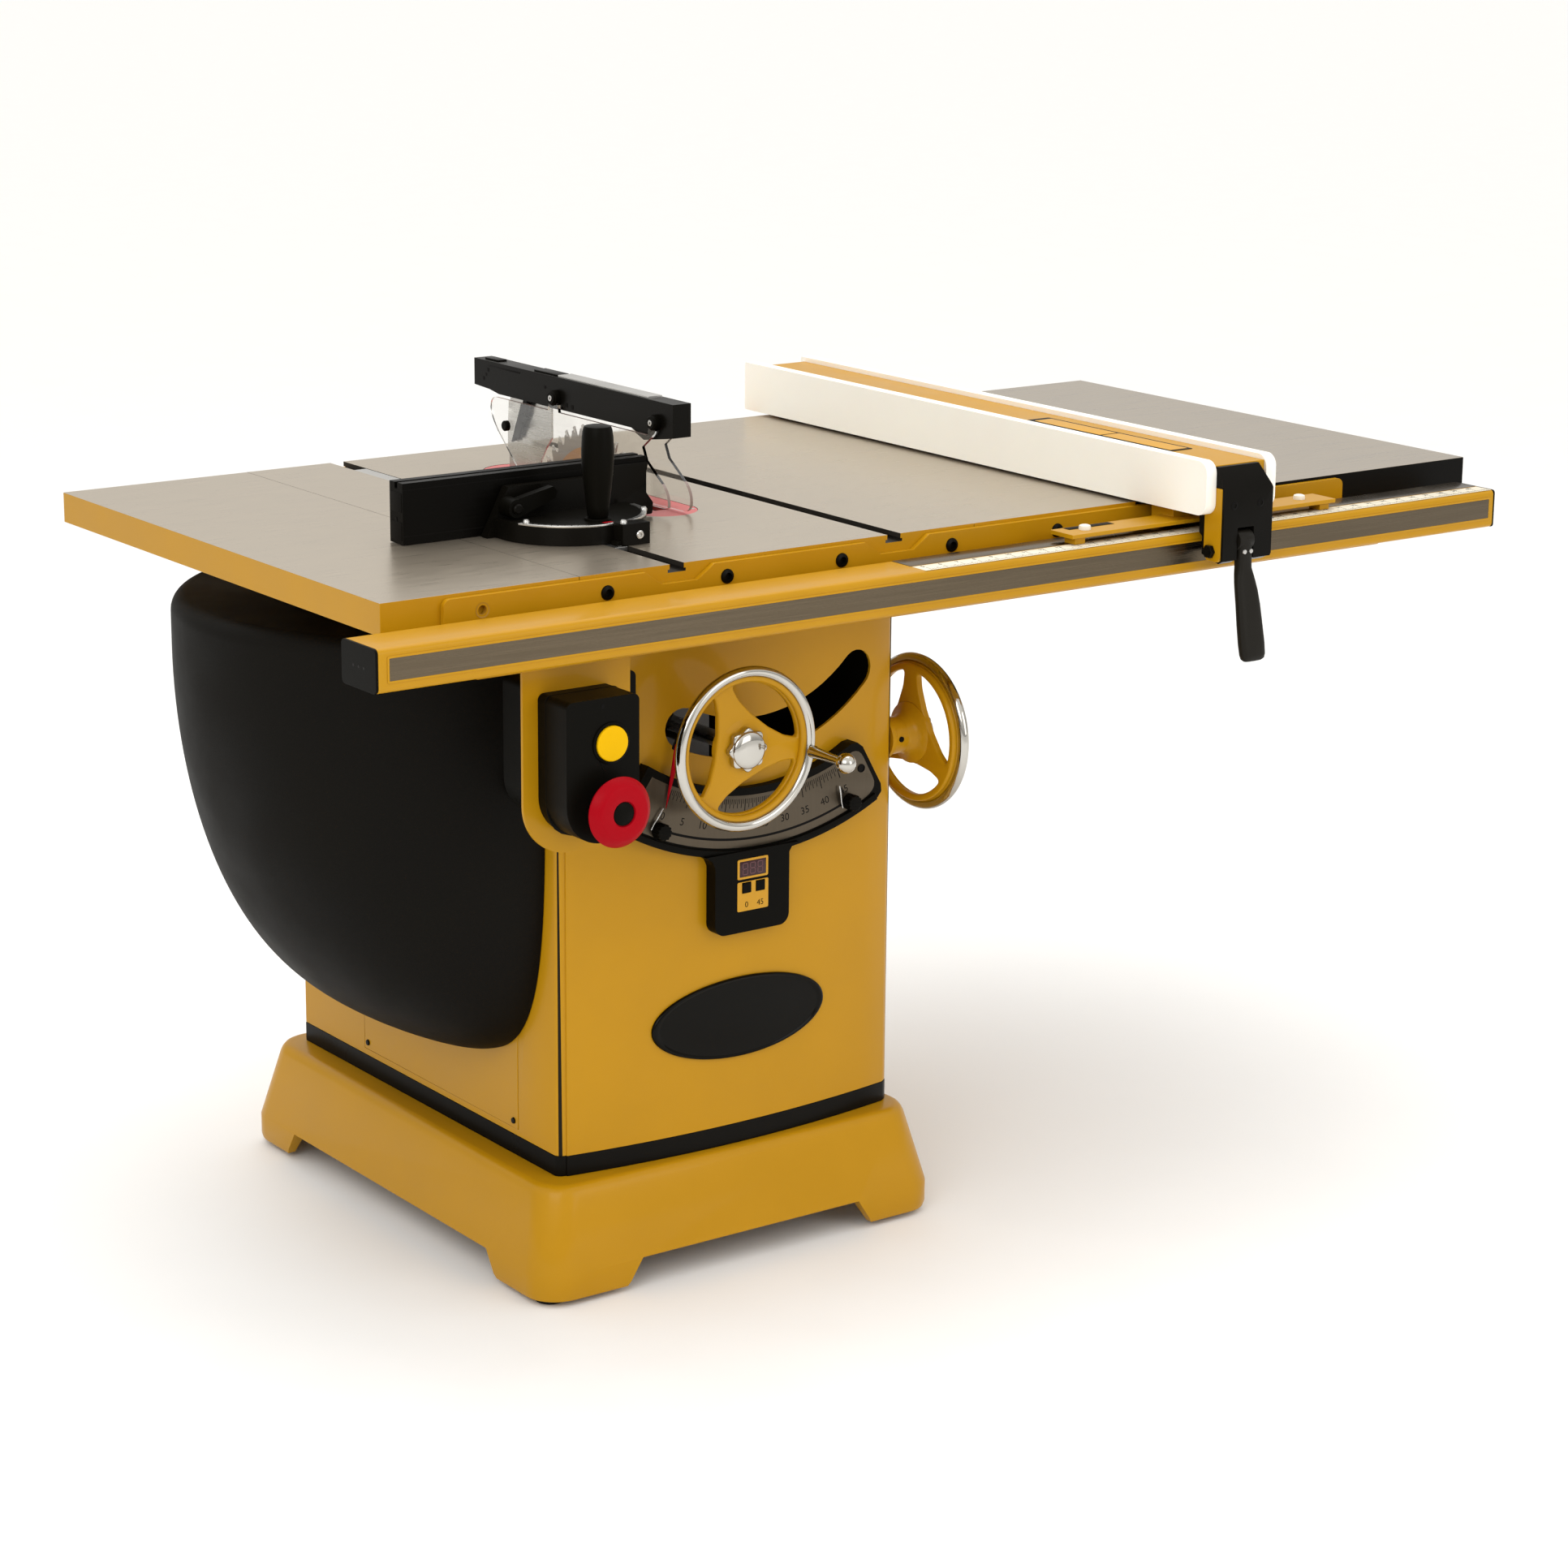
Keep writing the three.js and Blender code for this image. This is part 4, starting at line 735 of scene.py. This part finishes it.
# readout: gold frame, dark window with unlit digits, gold label behind the two set buttons
pod_face = in_mm("set_button_zero")[0].y + 1.6
add("readout_frame", outline([box_loop(497.4, 541.5, 474.3, 498.8, 2.2),
    box_loop(500.4, 538.5, 477, 496, 1)], "y", pod_face - 0.7, pod_face + 0.2, 0.15), "stand", GOLD)
add("readout_window", block((500.2, pod_face - 0.4, 476.8), (538.7, pod_face + 0.2, 496.2), 0.2), "stand",
    DISPLAY)
digits = []
for k in range(3):
    cx = 508.6 + 10.8 * k
    bars = [(0, z, 3, 0.5) for z in (-6.7, 0, 6.7)]
    bars += [(x, z, 0.5, 2.9) for x in (-3.4, 3.4) for z in (-3.6, 3.6)]
    for dx, dz, half_x, half_z in bars:
        digits.append(block((cx + dx - half_x, pod_face - 0.55, 486.5 + dz - half_z),
                            (cx + dx + half_x, pod_face - 0.35, 486.5 + dz + half_z), 0))
add("readout_digits", merge(digits), "stand", SEGMENT)
SET_X, SET_Z = (510.6, 530.4), 463.4
label = [box_loop(497.5, 542, 435, 471, 2.2)]
label += [box_loop(c - 6.7, c + 6.7, SET_Z - 6.7, SET_Z + 6.7, 0.4) for c in SET_X]
add("readout_label", outline(label, "y", pod_face - 0.6, pod_face + 0.2, 0.12), "stand", GOLD)
add("readout_numbers", merge([letters(words, 10, (x, pod_face - 0.6, 442.5), (1, 0, 0), (0, 0, 1))
    for words, x in (("0", SET_X[0]), ("45", SET_X[1]))]), "stand", INK)


# ---- handwheels
RIM_R = 90


def hole_loop(middle):
    """One of the three windows between the spokes, a rounded triangle."""
    def at(r, a):
        return r * math.cos(rad(a)), r * math.sin(rad(a))
    arc = [at(77.5, middle + 50.5 - 101 * i / 10) for i in range(11)]
    corners = [at(41, middle - 22), at(41, middle + 22), at(59, middle + 45)] + arc + [at(59, middle - 45)]
    return rounded(corners, [12, 12, 40, 9] + [60] * 9 + [9, 40], 5)


def wheel_parts(crank_angle, turned):
    """Web, rims, hub, knob and crank of a handwheel facing -Y, centred on its rim plane."""
    windows = [hole_loop(a + turned) for a in (52, 172, 292)]
    web = outline([circle(0, 0, 86, 96)] + windows, "y", 4, 13, 3.0, 4)

    def torus(major, minor, y):
        points = circle(major, y, minor, 24)
        return lathe(points + points[:1], "y", (0, 0, 0), 120)

    hub = lathe([(0, 3.8), (34, 3.8), (37.4, 5.4), (38.4, 8), (38, 14), (33, 17.5), (28, 20), (24, 25),
        (22, 34), (0, 34)], "y", (0, 0, 0), 64)
    knob_face = [(0, -4), (22.4, -5.8), (22.2, -7.4), (20.4, -9.2), (16, -10.8), (9, -11.7), (0, -11.9)]
    knob = merge([outline([lobed(0, 0, 24.6, 1.9, 8, 160)], "y", -6.5, 3.6, 2.4, 4),
                  lathe(knob_face, "y", (0, 0, 0), 64)])
    cx, cz = RIM_R * math.cos(rad(crank_angle)), RIM_R * math.sin(rad(crank_angle))
    ball = [(12 * math.cos(t), -73 - 12 * math.sin(t)) for t in [rad(90 - 12.5 * i) for i in range(13)]]
    stem = [(0, -8), (7.4, -8), (7.6, -12), (6.6, -15), (6.4, -22), (5.6, -40), (5.2, -56), (5.6, -60)]
    profile = stem + [(r, h) for r, h in reversed(ball) if r > 5.7] + [(3.5, -85), (0, -85)]
    crank = lathe(profile, "y", (cx, 0, cz), 40)
    return {"web": web, "back_rim": torus(83.2, 4.6, 2.4), "hub": hub, "rim": torus(91, 6.4, 0), "knob": knob,
            "crank": crank}


def place_wheel(prefix, centre, quarter_turn, bodies, crank_angle, turned):
    """Puts a handwheel at centre, facing -Y or, after a quarter turn, +X; bodies: wheel, knob, crank."""
    origin = W(0, 0, 0)
    parts = wheel_parts(crank_angle, turned)
    target = W(*centre)
    turn = Matrix.Rotation(math.pi / 2, 3, "Z") if quarter_turn else Matrix.Identity(3)
    painted = ("web", "back_rim", "hub")
    owner = {"knob": bodies[1], "crank": bodies[2]}
    stands_for = {"web": prefix + "_handwheel", "knob": prefix + "_lock_knob", "crank": prefix + "_crank"}
    for part_name, bm in parts.items():
        for v in bm.verts:
            v.co = target + turn @ (v.co - origin)
        slot = "wheel_rim" if part_name in painted + ("rim",) else "chrome"
        replaced = (stands_for[part_name],) if part_name in stands_for else ()
        add(prefix + "_wheel_" + part_name, bm, owner.get(part_name, bodies[0]),
            YELLOW if part_name in painted else CHROME, 40, replaces=replaced, slot=slot)


wheel_knob = middle_of("height_lock_knob")
wheel_at = (wheel_knob.x, -20, wheel_knob.z)
place_wheel("height", wheel_at, False, ("height_wheel", "height_lock_knob", "height_crank"), -9, 0)
add("height_shaft", lathe([(0, 10), (9.4, 10), (9.4, 147), (8, 149), (0, 149)], "y",
    (wheel_at[0], 0, wheel_at[2]), 32), "height_wheel", STEEL)
wheel_knob = middle_of("tilt_lock_knob")
side_at = (815, wheel_knob.y, wheel_knob.z)
place_wheel("tilt", side_at, True, ("tilt_wheel", "tilt_lock_knob", "tilt_crank"), -31, -22)
add("tilt_boss", lathe([(0, 757.5), (26, 757.5), (26, 763), (23.5, 765), (22.5, 788), (0, 788)], "x",
    (0, side_at[1], side_at[2]), 48), "tilt_wheel", YELLOW, slot="wheel_rim")
add("tilt_boss_screw", lathe([(0, -24.6), (3.4, -24.6), (3.4, -23), (0, -23)], "y",
    (772, side_at[1], side_at[2]), 20), "tilt_wheel", INK, slot="black_metal")
add("tilt_shaft", lathe([(0, 691), (9.4, 691), (9.4, 697), (12, 697), (12, 740), (9.4, 740), (9.4, 790),
    (0, 790)], "x", (0, side_at[1], side_at[2]), 32), "tilt_wheel", STEEL)


# ---- switch
box_low = in_mm("switch_box")[0]
start_mid = middle_of("start_button")
bezel = [(20.6, 1), (20.6, -2.2), (21.8, -2.6), (23.6, -1.6), (24.2, 0.5), (24.2, 1), (20.6, 1)]
add("start_bezel", lathe(bezel, "y", (start_mid.x, box_low.y, start_mid.z), 56), "stand", BLACK)
stop_mid = middle_of("stop_button")
stop_at = (stop_mid.x, in_mm("stop_button")[0].y, stop_mid.z)
mushroom = [(0, 2.6), (13.8, 2.6), (14.6, 0.4), (15.6, 0), (29, 0), (31, 0.6), (38.6, 8.2), (40, 10.4),
            (39.4, 12.6), (36, 14.2), (20, 15), (14, 17), (12, 26), (12, 40), (0, 40)]
add("stop_mushroom", lathe(mushroom, "y", stop_at, 96), "stop_button", RED, 40, replaces=("stop_button",))
plug = [(0, 0.6), (11.6, 0.8), (13.2, 1.8), (13.4, 3.6), (0, 3.6)]
add("stop_centre", lathe(plug, "y", stop_at, 48), "stop_button", BLACK)
add("switch_seam", outline([rounded([(169.6, 597.6), (265.4, 597.6), (265.4, 761.4), (169.6, 761.4)],
    [46, 46, 8, 8])], "y", -60.4, -59.4, 0.2), "stand", INK)
add("switch_hole", lathe([(0, -0.3), (2.4, -0.3), (2.4, 0.4), (0, 0.4)], "y", (217, box_low.y, 752), 20),
    "stand", INK)


# ---- motor cover
cover_low, cover_high = in_mm("motor_cover")


def cover_rings(inset):
    levels, around = 44, 72
    wall_x = cover_high.x
    middle = (cover_low.y + cover_high.y) / 2
    half = (cover_high.y - cover_low.y) / 2 - inset
    reach = wall_x - cover_low.x - inset
    low, knee, top = cover_low.z + inset, 728, cover_high.z - inset

    def ring(depth, width, z):
        points = []
        for i in range(around + 1):
            a = math.pi * i / around
            points.append(W(wall_x - depth * math.sin(a) ** 0.95, middle + half * width * math.cos(a), z))
        return points

    rings = []
    for k in range(levels):
        t = min(math.cos(math.pi / 2 * k / levels), 0.9995)
        depth = (1 - t ** 1.95) ** (1 / 1.95)
        width = (1 - t ** 4.5) ** (1 / 4.5)
        rings.append(ring(reach * depth, width, knee - t * (knee - low)))
    rings.append(ring(reach, 1, knee))
    for k in range(9):
        a = rad(90 * k / 8)
        rings.append(ring(reach - 22 * (1 - math.cos(a)), 1 - 0.055 * (1 - math.cos(a)),
            top - 22 + 22 * math.sin(a)))
    return rings


bm = bmesh.new()
outer = [[bm.verts.new(p) for p in ring] for ring in cover_rings(0)]
inner = [[bm.verts.new(p) for p in ring] for ring in cover_rings(4.5)]
for skin in (outer, inner):
    for lower, upper in zip(skin, skin[1:]):
        for i in range(len(lower) - 1):
            bm.faces.new((lower[i], lower[i + 1], upper[i + 1], upper[i]))
    bm.faces.new(skin[0])
    bm.faces.new(skin[-1])
edge_out = [ring[0] for ring in outer] + [ring[-1] for ring in reversed(outer)]
edge_in = [ring[0] for ring in inner] + [ring[-1] for ring in reversed(inner)]
bridge(bm, edge_out, edge_in)
add("cover_shell", bm, "motor_cover", COVER, 50, replaces=("motor_cover",))
knuckles = [lathe([(0, z), (5, z), (5, z + 30), (0, z + 30)], "z", (264, 686, 0), 24)
    for z in (360, 392, 640, 672)]
add("cover_hinges", merge(knuckles), "motor_cover", BLACK_PAINT)
add("cover_screw", lathe([(0, -1.5), (4, -1.5), (5, 0.5), (5, 3), (0, 3)], "y",
    (252, cover_low.y + 0.5, 600), 20), "motor_cover", GLOSS_BLACK, slot="black_metal")

# ---- rip fence
beam_top = in_mm("fence_body")[1].z
board_l_low, board_l_high = in_mm("fence_board_left")
board_r_low, board_r_high = in_mm("fence_board_right")
head_front = in_mm("fence_head")[0].y
beam_low_x, beam_high_x = board_l_high.x + 0.3, board_r_low.x - 0.3
middle_x = (board_l_high.x + board_r_low.x) / 2
add("beam_label", outline([box_loop(middle_x - 18, middle_x + 18, -30, 246, 3)], "z", beam_top - 0.05,
    beam_top + 0.5, 0.12), "fence", INK)
add("beam_label_panel", merge([outline([box_loop(middle_x - 14, middle_x + 14, -24 + 132 * k, 104 + 132 * k,
    2)], "z", beam_top + 0.3, beam_top + 0.7, 0.1) for k in range(2)]), "fence", GOLD)
plug = [(0, -0.6), (7, -0.6), (7.4, 0.02), (0, 0.02)]
add("board_plugs", merge([
    lathe(facing(plug, sign), "x", (x, y, 908), 28) for y in (-10, 240, 490, 740)
    for x, sign in ((board_l_low.x + 0.2, -1), (board_r_high.x - 0.2, 1))]), "fence", NYLON)
socket_head = [(0, 0), (5.4, 0), (5.4, -1.6), (4.6, -2), (2.7, -2), (2.484, -0.7), (0, -0.7)]
add("head_screws", merge([lathe(socket_head, "y", (x, head_front + 1.4, 890), 24) for x in (1089, 1131.4)]),
    "fence", INK, slot="black_metal")
CLAMP_Y, CLAMP_Z = -130.8, 833  # bolts through the two cheeks
hexagon = circle(CLAMP_Y, CLAMP_Z, 8.6, 6)
bolt_end = [(0, -6.4), (4.4, -6.4), (4.6, -5), (0, -5)]
add("head_side_bolts", merge([
    outline([hexagon], "x", beam_low_x - 5.8, beam_low_x + 0.2, 0.8),
    outline([hexagon], "x", beam_high_x - 0.2, beam_high_x + 5.8, 0.8),
    lathe(bolt_end, "x", (beam_low_x, CLAMP_Y, CLAMP_Z), 24)]), "fence", BLACK_PAINT)
cross_z = 864
add("crossbar_label", block((913, -56, cross_z - 0.1), (983, -44, cross_z + 0.4), 0.1), "fence", INK)
add("nylon_screws", merge([lathe([(0, 6), (4.4, 6), (6.8, 5), (7.4, 3), (7.4, -0.2), (0, -0.2)], "z",
    (x, y, cross_z), 28) for x, y in ((931, -63), (1282, -61))]), "fence", NYLON)
add("cursor_bracket", block((beam_high_x, -84, 853.5), (1214, -62, 857), 0.6), "fence", WHITE)
add("cursor_window", block((1166, -97.5, 853.2), (1206, -70, 855.6), 0.5), "fence", CLEAR)
add("cursor_line", block((1185.6, -97, 853.0), (1186.4, -72, 853.4), 0), "fence", RED)

# the cam lever: a hub with two rivets, and a paddle that swells towards its end
lever_x = middle_of("fence_lever").x
bm = bmesh.new()
rings = []
for z, half, middle, thick in (
        (848, 9.4, -148, 9), (826, 10, -148.6, 8.4), (812, 10.4, -149.4, 8), (804, 13, -151.2, 7.4),
        (795, 15, -153.6, 7), (785, 16.4, -156.4, 7), (768, 17.6, -160.4, 7.2), (745, 18.5, -164.6, 7.6),
        (722, 19, -169, 8), (709, 18.4, -171.4, 7.8), (704, 17, -172, 6.6), (701.4, 13.6, -172, 4)):
    ring = []
    for a in angles(28):
        c, s = math.cos(a), math.sin(a)
        ring.append(bm.verts.new(W(lever_x + half * math.copysign(abs(c) ** 0.62, c),
            middle + thick * math.copysign(abs(s) ** 0.7, s), z)))
    rings.append(ring)
for upper, lower in zip(rings, rings[1:]):
    bridge(bm, upper, lower)
bm.faces.new(rings[0])
bm.faces.new(rings[-1])
hub = lathe([(0, -11.4), (11, -11.4), (12, -10.4), (12, 10.4), (11, 11.4), (0, 11.4)], "x",
    (lever_x, -145, 846), 40)
add("lever_paddle", merge([bm, hub]), "fence_lever", LEVER, 45, replaces=("fence_lever",))
rivet = [(0, -157.9), (2.6, -157.7), (3.0, -156.6), (0, -156.6)]
add("lever_rivets", merge([lathe(rivet, "y", (lever_x + dx, 0, 833), 20) for dx in (-5, 5)]), "fence_lever",
    STEEL)

# ---- miter gauge
head_top = in_mm("miter_head")[0].z + 22.4
edge = sector(about_miter, 85.5, 92.2, 199, 359)
add("protractor_edge", outline([edge], "z", head_top - 1.5, head_top + 0.9, 0.5), "miter_head", STEEL,
    slot="chrome")
ticks = []
for k in range(-60, 61, 5):
    loop = sector(about_miter, 86.2, 90.5 if k % 15 else 91.6, 270 + k - 0.25, 270 + k + 0.25, 1)
    ticks.append(outline([loop], "z", head_top + 0.8, head_top + 1.05, 0))
add("protractor_ticks", merge(ticks), "miter_head", INK)
zero = sector(about_miter, 77, 83, 268, 277, 4)
add("protractor_zero", outline([zero], "z", head_top - 0.1, head_top + 0.3, 0.05), "miter_head", RED)
button = [(0, 5), (2.8, 4.4), (4.2, 2.4), (4.2, -0.2), (0, -0.2)]
add("protractor_stops", merge([
    lathe(button, "z", (*about_miter(88.6, a), head_top + 0.9), 24) for a in (204.4, 329.3)]), "miter_head",
    STEEL)
bar_low, bar_high = in_mm("miter_bar")
slotted = [(0, 0), (5, 0), (5, -2.4), (4, -3.4), (2, -3.4), (1.8, -1.4), (0, -1.4)]
add("pointer_screw", merge([lathe(slotted, "y", (409, bar_low.y + 0.2, 886), 24),
                            lathe(button, "z", (391.5, 120, bar_high.z), 24)]), "miter_bar", STEEL)
grip = [(0, 26.4), (11, 26.4), (12.4, 28), (13.6, 40), (15.6, 58), (17.8, 78), (19, 94), (19.1, 106),
    (18.4, 120), (17.2, 129), (15.4, 133), (11, 134), (0, 134)]
add("grip_handle", lathe(grip, "z", (MITER_X + 2, 165, TOP), 64), "miter_grip", BLACK, 45,
    replaces=("miter_grip",))
fence_low, fence_high = in_mm("miter_fence")
lower_slot = [(3, 879), (27, 879), (27, 901), (17, 901), (17, 906), (13, 906), (13, 901), (3, 901)]
upper_slot = [(3, 912), (27, 912), (27, 935), (3, 935)]
end_slots = [[(fence_low.y + y, z) for y, z in loop] for loop in (lower_slot, upper_slot)]
add("miter_fence_end", merge([outline([rounded(loop, 1.2, 3)], "x", fence_low.x - 0.4, fence_low.x + 0.2,
    0.1) for loop in end_slots]), "miter_fence", INK)
add("fence_grooves", merge([block((fence_low.x - 0.1, fence_low.y - 0.25, z),
    (fence_high.x + 0.1, fence_low.y + 0.2, z + 1.3), 0) for z in (884, 938)]), "miter_fence", INK)
add("miter_flip_plate", outline([rounded([(440, 876), (521, 876), (522, 890), (507, 910), (515.5, 940),
    (440, 940)], 3)], "y", 252.1, 254.2, 0.3), "miter_fence", BLACK_PAINT)
add("clamp_screw", lathe([(0, 0), (6, 0), (6, -3), (4.6, -4.2), (0, -4.2)], "y", (308, 216, 910), 24),
    "miter_clamp", BLACK_PAINT)

# ---- blade, guard and insert
blade_x, arbor_y, arbor_z = middle_of("saw_blade")
TEETH, BLADE_R = 40, 126.8
rim_loop = []
for k in range(TEETH):
    for share, r in ((0.0, BLADE_R - 3.2), (0.10, BLADE_R - 13), (0.25, BLADE_R - 14), (0.42, BLADE_R - 11),
                     (0.62, BLADE_R - 5), (0.92, BLADE_R - 3.6)):
        a = 2 * math.pi * (k + share) / TEETH
        rim_loop.append((arbor_y + r * math.cos(a), arbor_z + r * math.sin(a)))
add("blade_plate", outline([rim_loop, circle(arbor_y, arbor_z, 11, 40)], "x", blade_x - 1.0, blade_x + 1.0,
    0.1), "arbor", BLADE, 35, replaces=("saw_blade",))
tips = []
for k in range(TEETH):
    loop = []
    for share, r in ((-0.02, BLADE_R), (0.02, BLADE_R - 8.5), (-0.16, BLADE_R - 7.5), (-0.22, BLADE_R - 1.2)):
        a = 2 * math.pi * (k + share) / TEETH
        loop.append((arbor_y + r * math.cos(a), arbor_z + r * math.sin(a)))
    tips.append(outline([loop], "x", blade_x - 1.05, blade_x + 1.05, 0.1))
add("blade_tips", merge(tips), "arbor", TOOTH)
add("blade_label", merge([outline([circle(arbor_y, arbor_z, 99, 72), circle(arbor_y, arbor_z, 40, 48)], "x",
    x - 0.1, x + 0.1, 0.03) for x in (blade_x - 1.1, blade_x + 1.1)]), "arbor", ORANGE)

arm_low, arm_high = in_mm("guard_arm")
knob = [(0, -4.9), (9.6, -4.9), (9.6, 1.6), (8.4, 2.2), (8.2, 3.8), (7.2, 4.6), (0, 4.6)]
cap = [(0, 4.3), (3.8, 4.3), (3.6, 5.1), (1.6, 5.2), (1.4, 4.6), (0, 4.6)]
stud = [(0, 0), (6.6, 0), (6.6, 5), (5, 6.4), (0, 6.4)]
for side, sign in (("left", -1), ("right", 1)):
    shield_low, shield_high = in_mm("shield_" + side)
    out = shield_low.x if sign < 0 else shield_high.x
    places = [(out, y, 984.5) for y in (481, 259.5)]
    knobs = [lathe(facing(knob, sign), "x", place, 32) for place in places]
    knobs.append(lathe(facing(stud, sign), "x", (out, 588, 934.8), 28))
    add("guard_knobs_" + side, merge(knobs), "shield_" + side, BLACK)
    caps = [lathe(facing(cap, sign), "x", place, 24) for place in places]
    add("guard_knob_caps_" + side, merge(caps), "shield_" + side, STEEL)
add("arm_rear_hump", merge([
    block((arm_low.x + inset, y0, ARM_TOP - 0.1), (arm_high.x - inset, y1, ARM_TOP + 2.2), 1.0)
    for inset, y0, y1 in ((4, 486, 540), (6, 628, 660))]), "lift", BLACK_PAINT)
slots = ((455, 461, 975, 981), (442, 449, 974, 980), (505, 511, 992, 996), (640, 646, 996, 1001),
         (645, 650, 990, 994), (651, 657, 984, 989), (566, 640, 1003, 1005))
add("arm_slots", merge([outline([box_loop(*slot, 1.4)], "x", arm_low.x - 0.25, arm_low.x + 0.1, 0.05)
                        for slot in slots]), "lift", INK)
insert_top = in_mm("throat_insert")[1].z
add("insert_screws", merge([lathe([(0, -0.6), (3, -0.6), (3.4, 0.1), (2.4, 0.25), (0, 0.1)], "z",
    (x, y, insert_top), 20) for x in (514, 586) for y in (262, 616)]), "stand", STEEL)

# ---- motor ends, feet, rear fittings
motor_end = in_mm("motor_body")[0].x
motor_y, motor_z = 430, 640
fin = [(83.6, 0), (85.6, 0), (85.6, 3), (83.6, 3), (83.6, 0)]
add("motor_fins", merge([lathe(fin, "x", (x, motor_y, motor_z), 64) for x in range(180, 416, 12)]), "lift",
    MOTOR)
add("motor_grille", merge([lathe([(r, -0.8), (r + 3, -0.8), (r + 3, 0), (r, 0), (r, -0.8)], "x",
                                 (motor_end, motor_y, motor_z), 56) for r in range(12, 70, 9)]), "lift", INK,
    slot="black_metal")
for node_name in ("foot_front_left", "foot_front_right", "foot_rear_left", "foot_rear_right"):
    foot_x, foot_y, _ = middle_of(node_name)
    add(node_name + "_nut", outline([circle(foot_x, foot_y, 9.5, 6)], "z", 7.8, 13, 0.6), "stand", STEEL)
panel_low, panel_high = in_mm("side_panel")
add("panel_screws", merge([lathe([(0, -0.4), (4, -0.4), (3.4, -2.2), (0, -2.6)], "x",
    (panel_low.x + 0.3, y, z), 20) for y in (panel_low.y + 9, panel_high.y - 9)
    for z in (panel_low.z + 9, panel_high.z - 9)]), "stand", BLACK_PAINT)
port_low, port_high = in_mm("dust_port")
port_x, _, port_z = middle_of("dust_port")
add("port_screws", merge([lathe([(0, 3.8), (4, 3.8), (3.4, 6), (0, 6.4)], "y",
    (port_x + 57 * math.cos(rad(a)), port_low.y, port_z + 57 * math.sin(rad(a))), 20)
    for a in (45, 135, 225, 315)]), "stand", BLACK_PAINT)
add("port_bead", lathe([(50.2, -3), (52, -2), (52, 2), (50.2, 3), (48.5, 3), (48.5, -3), (50.2, -3)], "y",
    (port_x, port_high.y - 4, port_z), 72), "stand", BLACK)

# ---- floor and lights
floor_bm = bmesh.new()
bmesh.ops.create_grid(floor_bm, x_segments=1, y_segments=1, size=40)
floor_data = bpy.data.meshes.new("floor")
floor_bm.to_mesh(floor_data)
floor_bm.free()
floor_data.materials.append(surface("pale_floor", (0.95, 0.95, 0.95), 0.7, spread=0.005, bump=0.0))
floor = bpy.data.objects.new("floor", floor_data)
scene.collection.objects.link(floor)

world = bpy.data.worlds.new("studio")
world.use_nodes = True
sky = world.node_tree
direction = sky.nodes.new("ShaderNodeTexCoord")
split = sky.nodes.new("ShaderNodeSeparateXYZ")
sky.links.new(direction.outputs["Generated"], split.inputs["Vector"])
ramp = sky.nodes.new("ShaderNodeValToRGB")
for height, brightness in ((0.0, 0.42), (0.26, 0.75), (0.5, 1.0)):
    element = ramp.color_ramp.elements[0] if height == 0 else ramp.color_ramp.elements.new(height)
    element.position = height
    element.color = (brightness, brightness * 0.985, brightness * 0.95, 1)
ramp.color_ramp.elements[-1].color = (1.0, 0.985, 0.95, 1)
sky.links.new(split.outputs["Z"], ramp.inputs["Fac"])
sky.links.new(ramp.outputs["Color"], sky.nodes["Background"].inputs["Color"])
sky.nodes["Background"].inputs["Strength"].default_value = 1.12
scene.world = world


def softbox(name, place, target, width, height, power):
    """A rectangular light aimed at a point; lengths in metres, power in watts."""
    data = bpy.data.lights.new(name, "AREA")
    data.shape = "RECTANGLE"
    data.size = width
    data.size_y = height
    data.energy = power
    light = bpy.data.objects.new(name, data)
    scene.collection.objects.link(light)
    light.location = place
    light.rotation_euler = (Vector(target) - Vector(place)).to_track_quat("-Z", "Y").to_euler()


softbox("key", (-3.4, -2.6, 2.8), (-0.2, 0, 0.6), 2.6, 2.2, 46)
softbox("fill", (1.0, -3.9, 1.7), (0, 0, 0.6), 1.8, 2.0, 20)
softbox("overhead", (0.2, 0.4, 3.4), (0, 0.2, 0.6), 3.4, 2.6, 45)
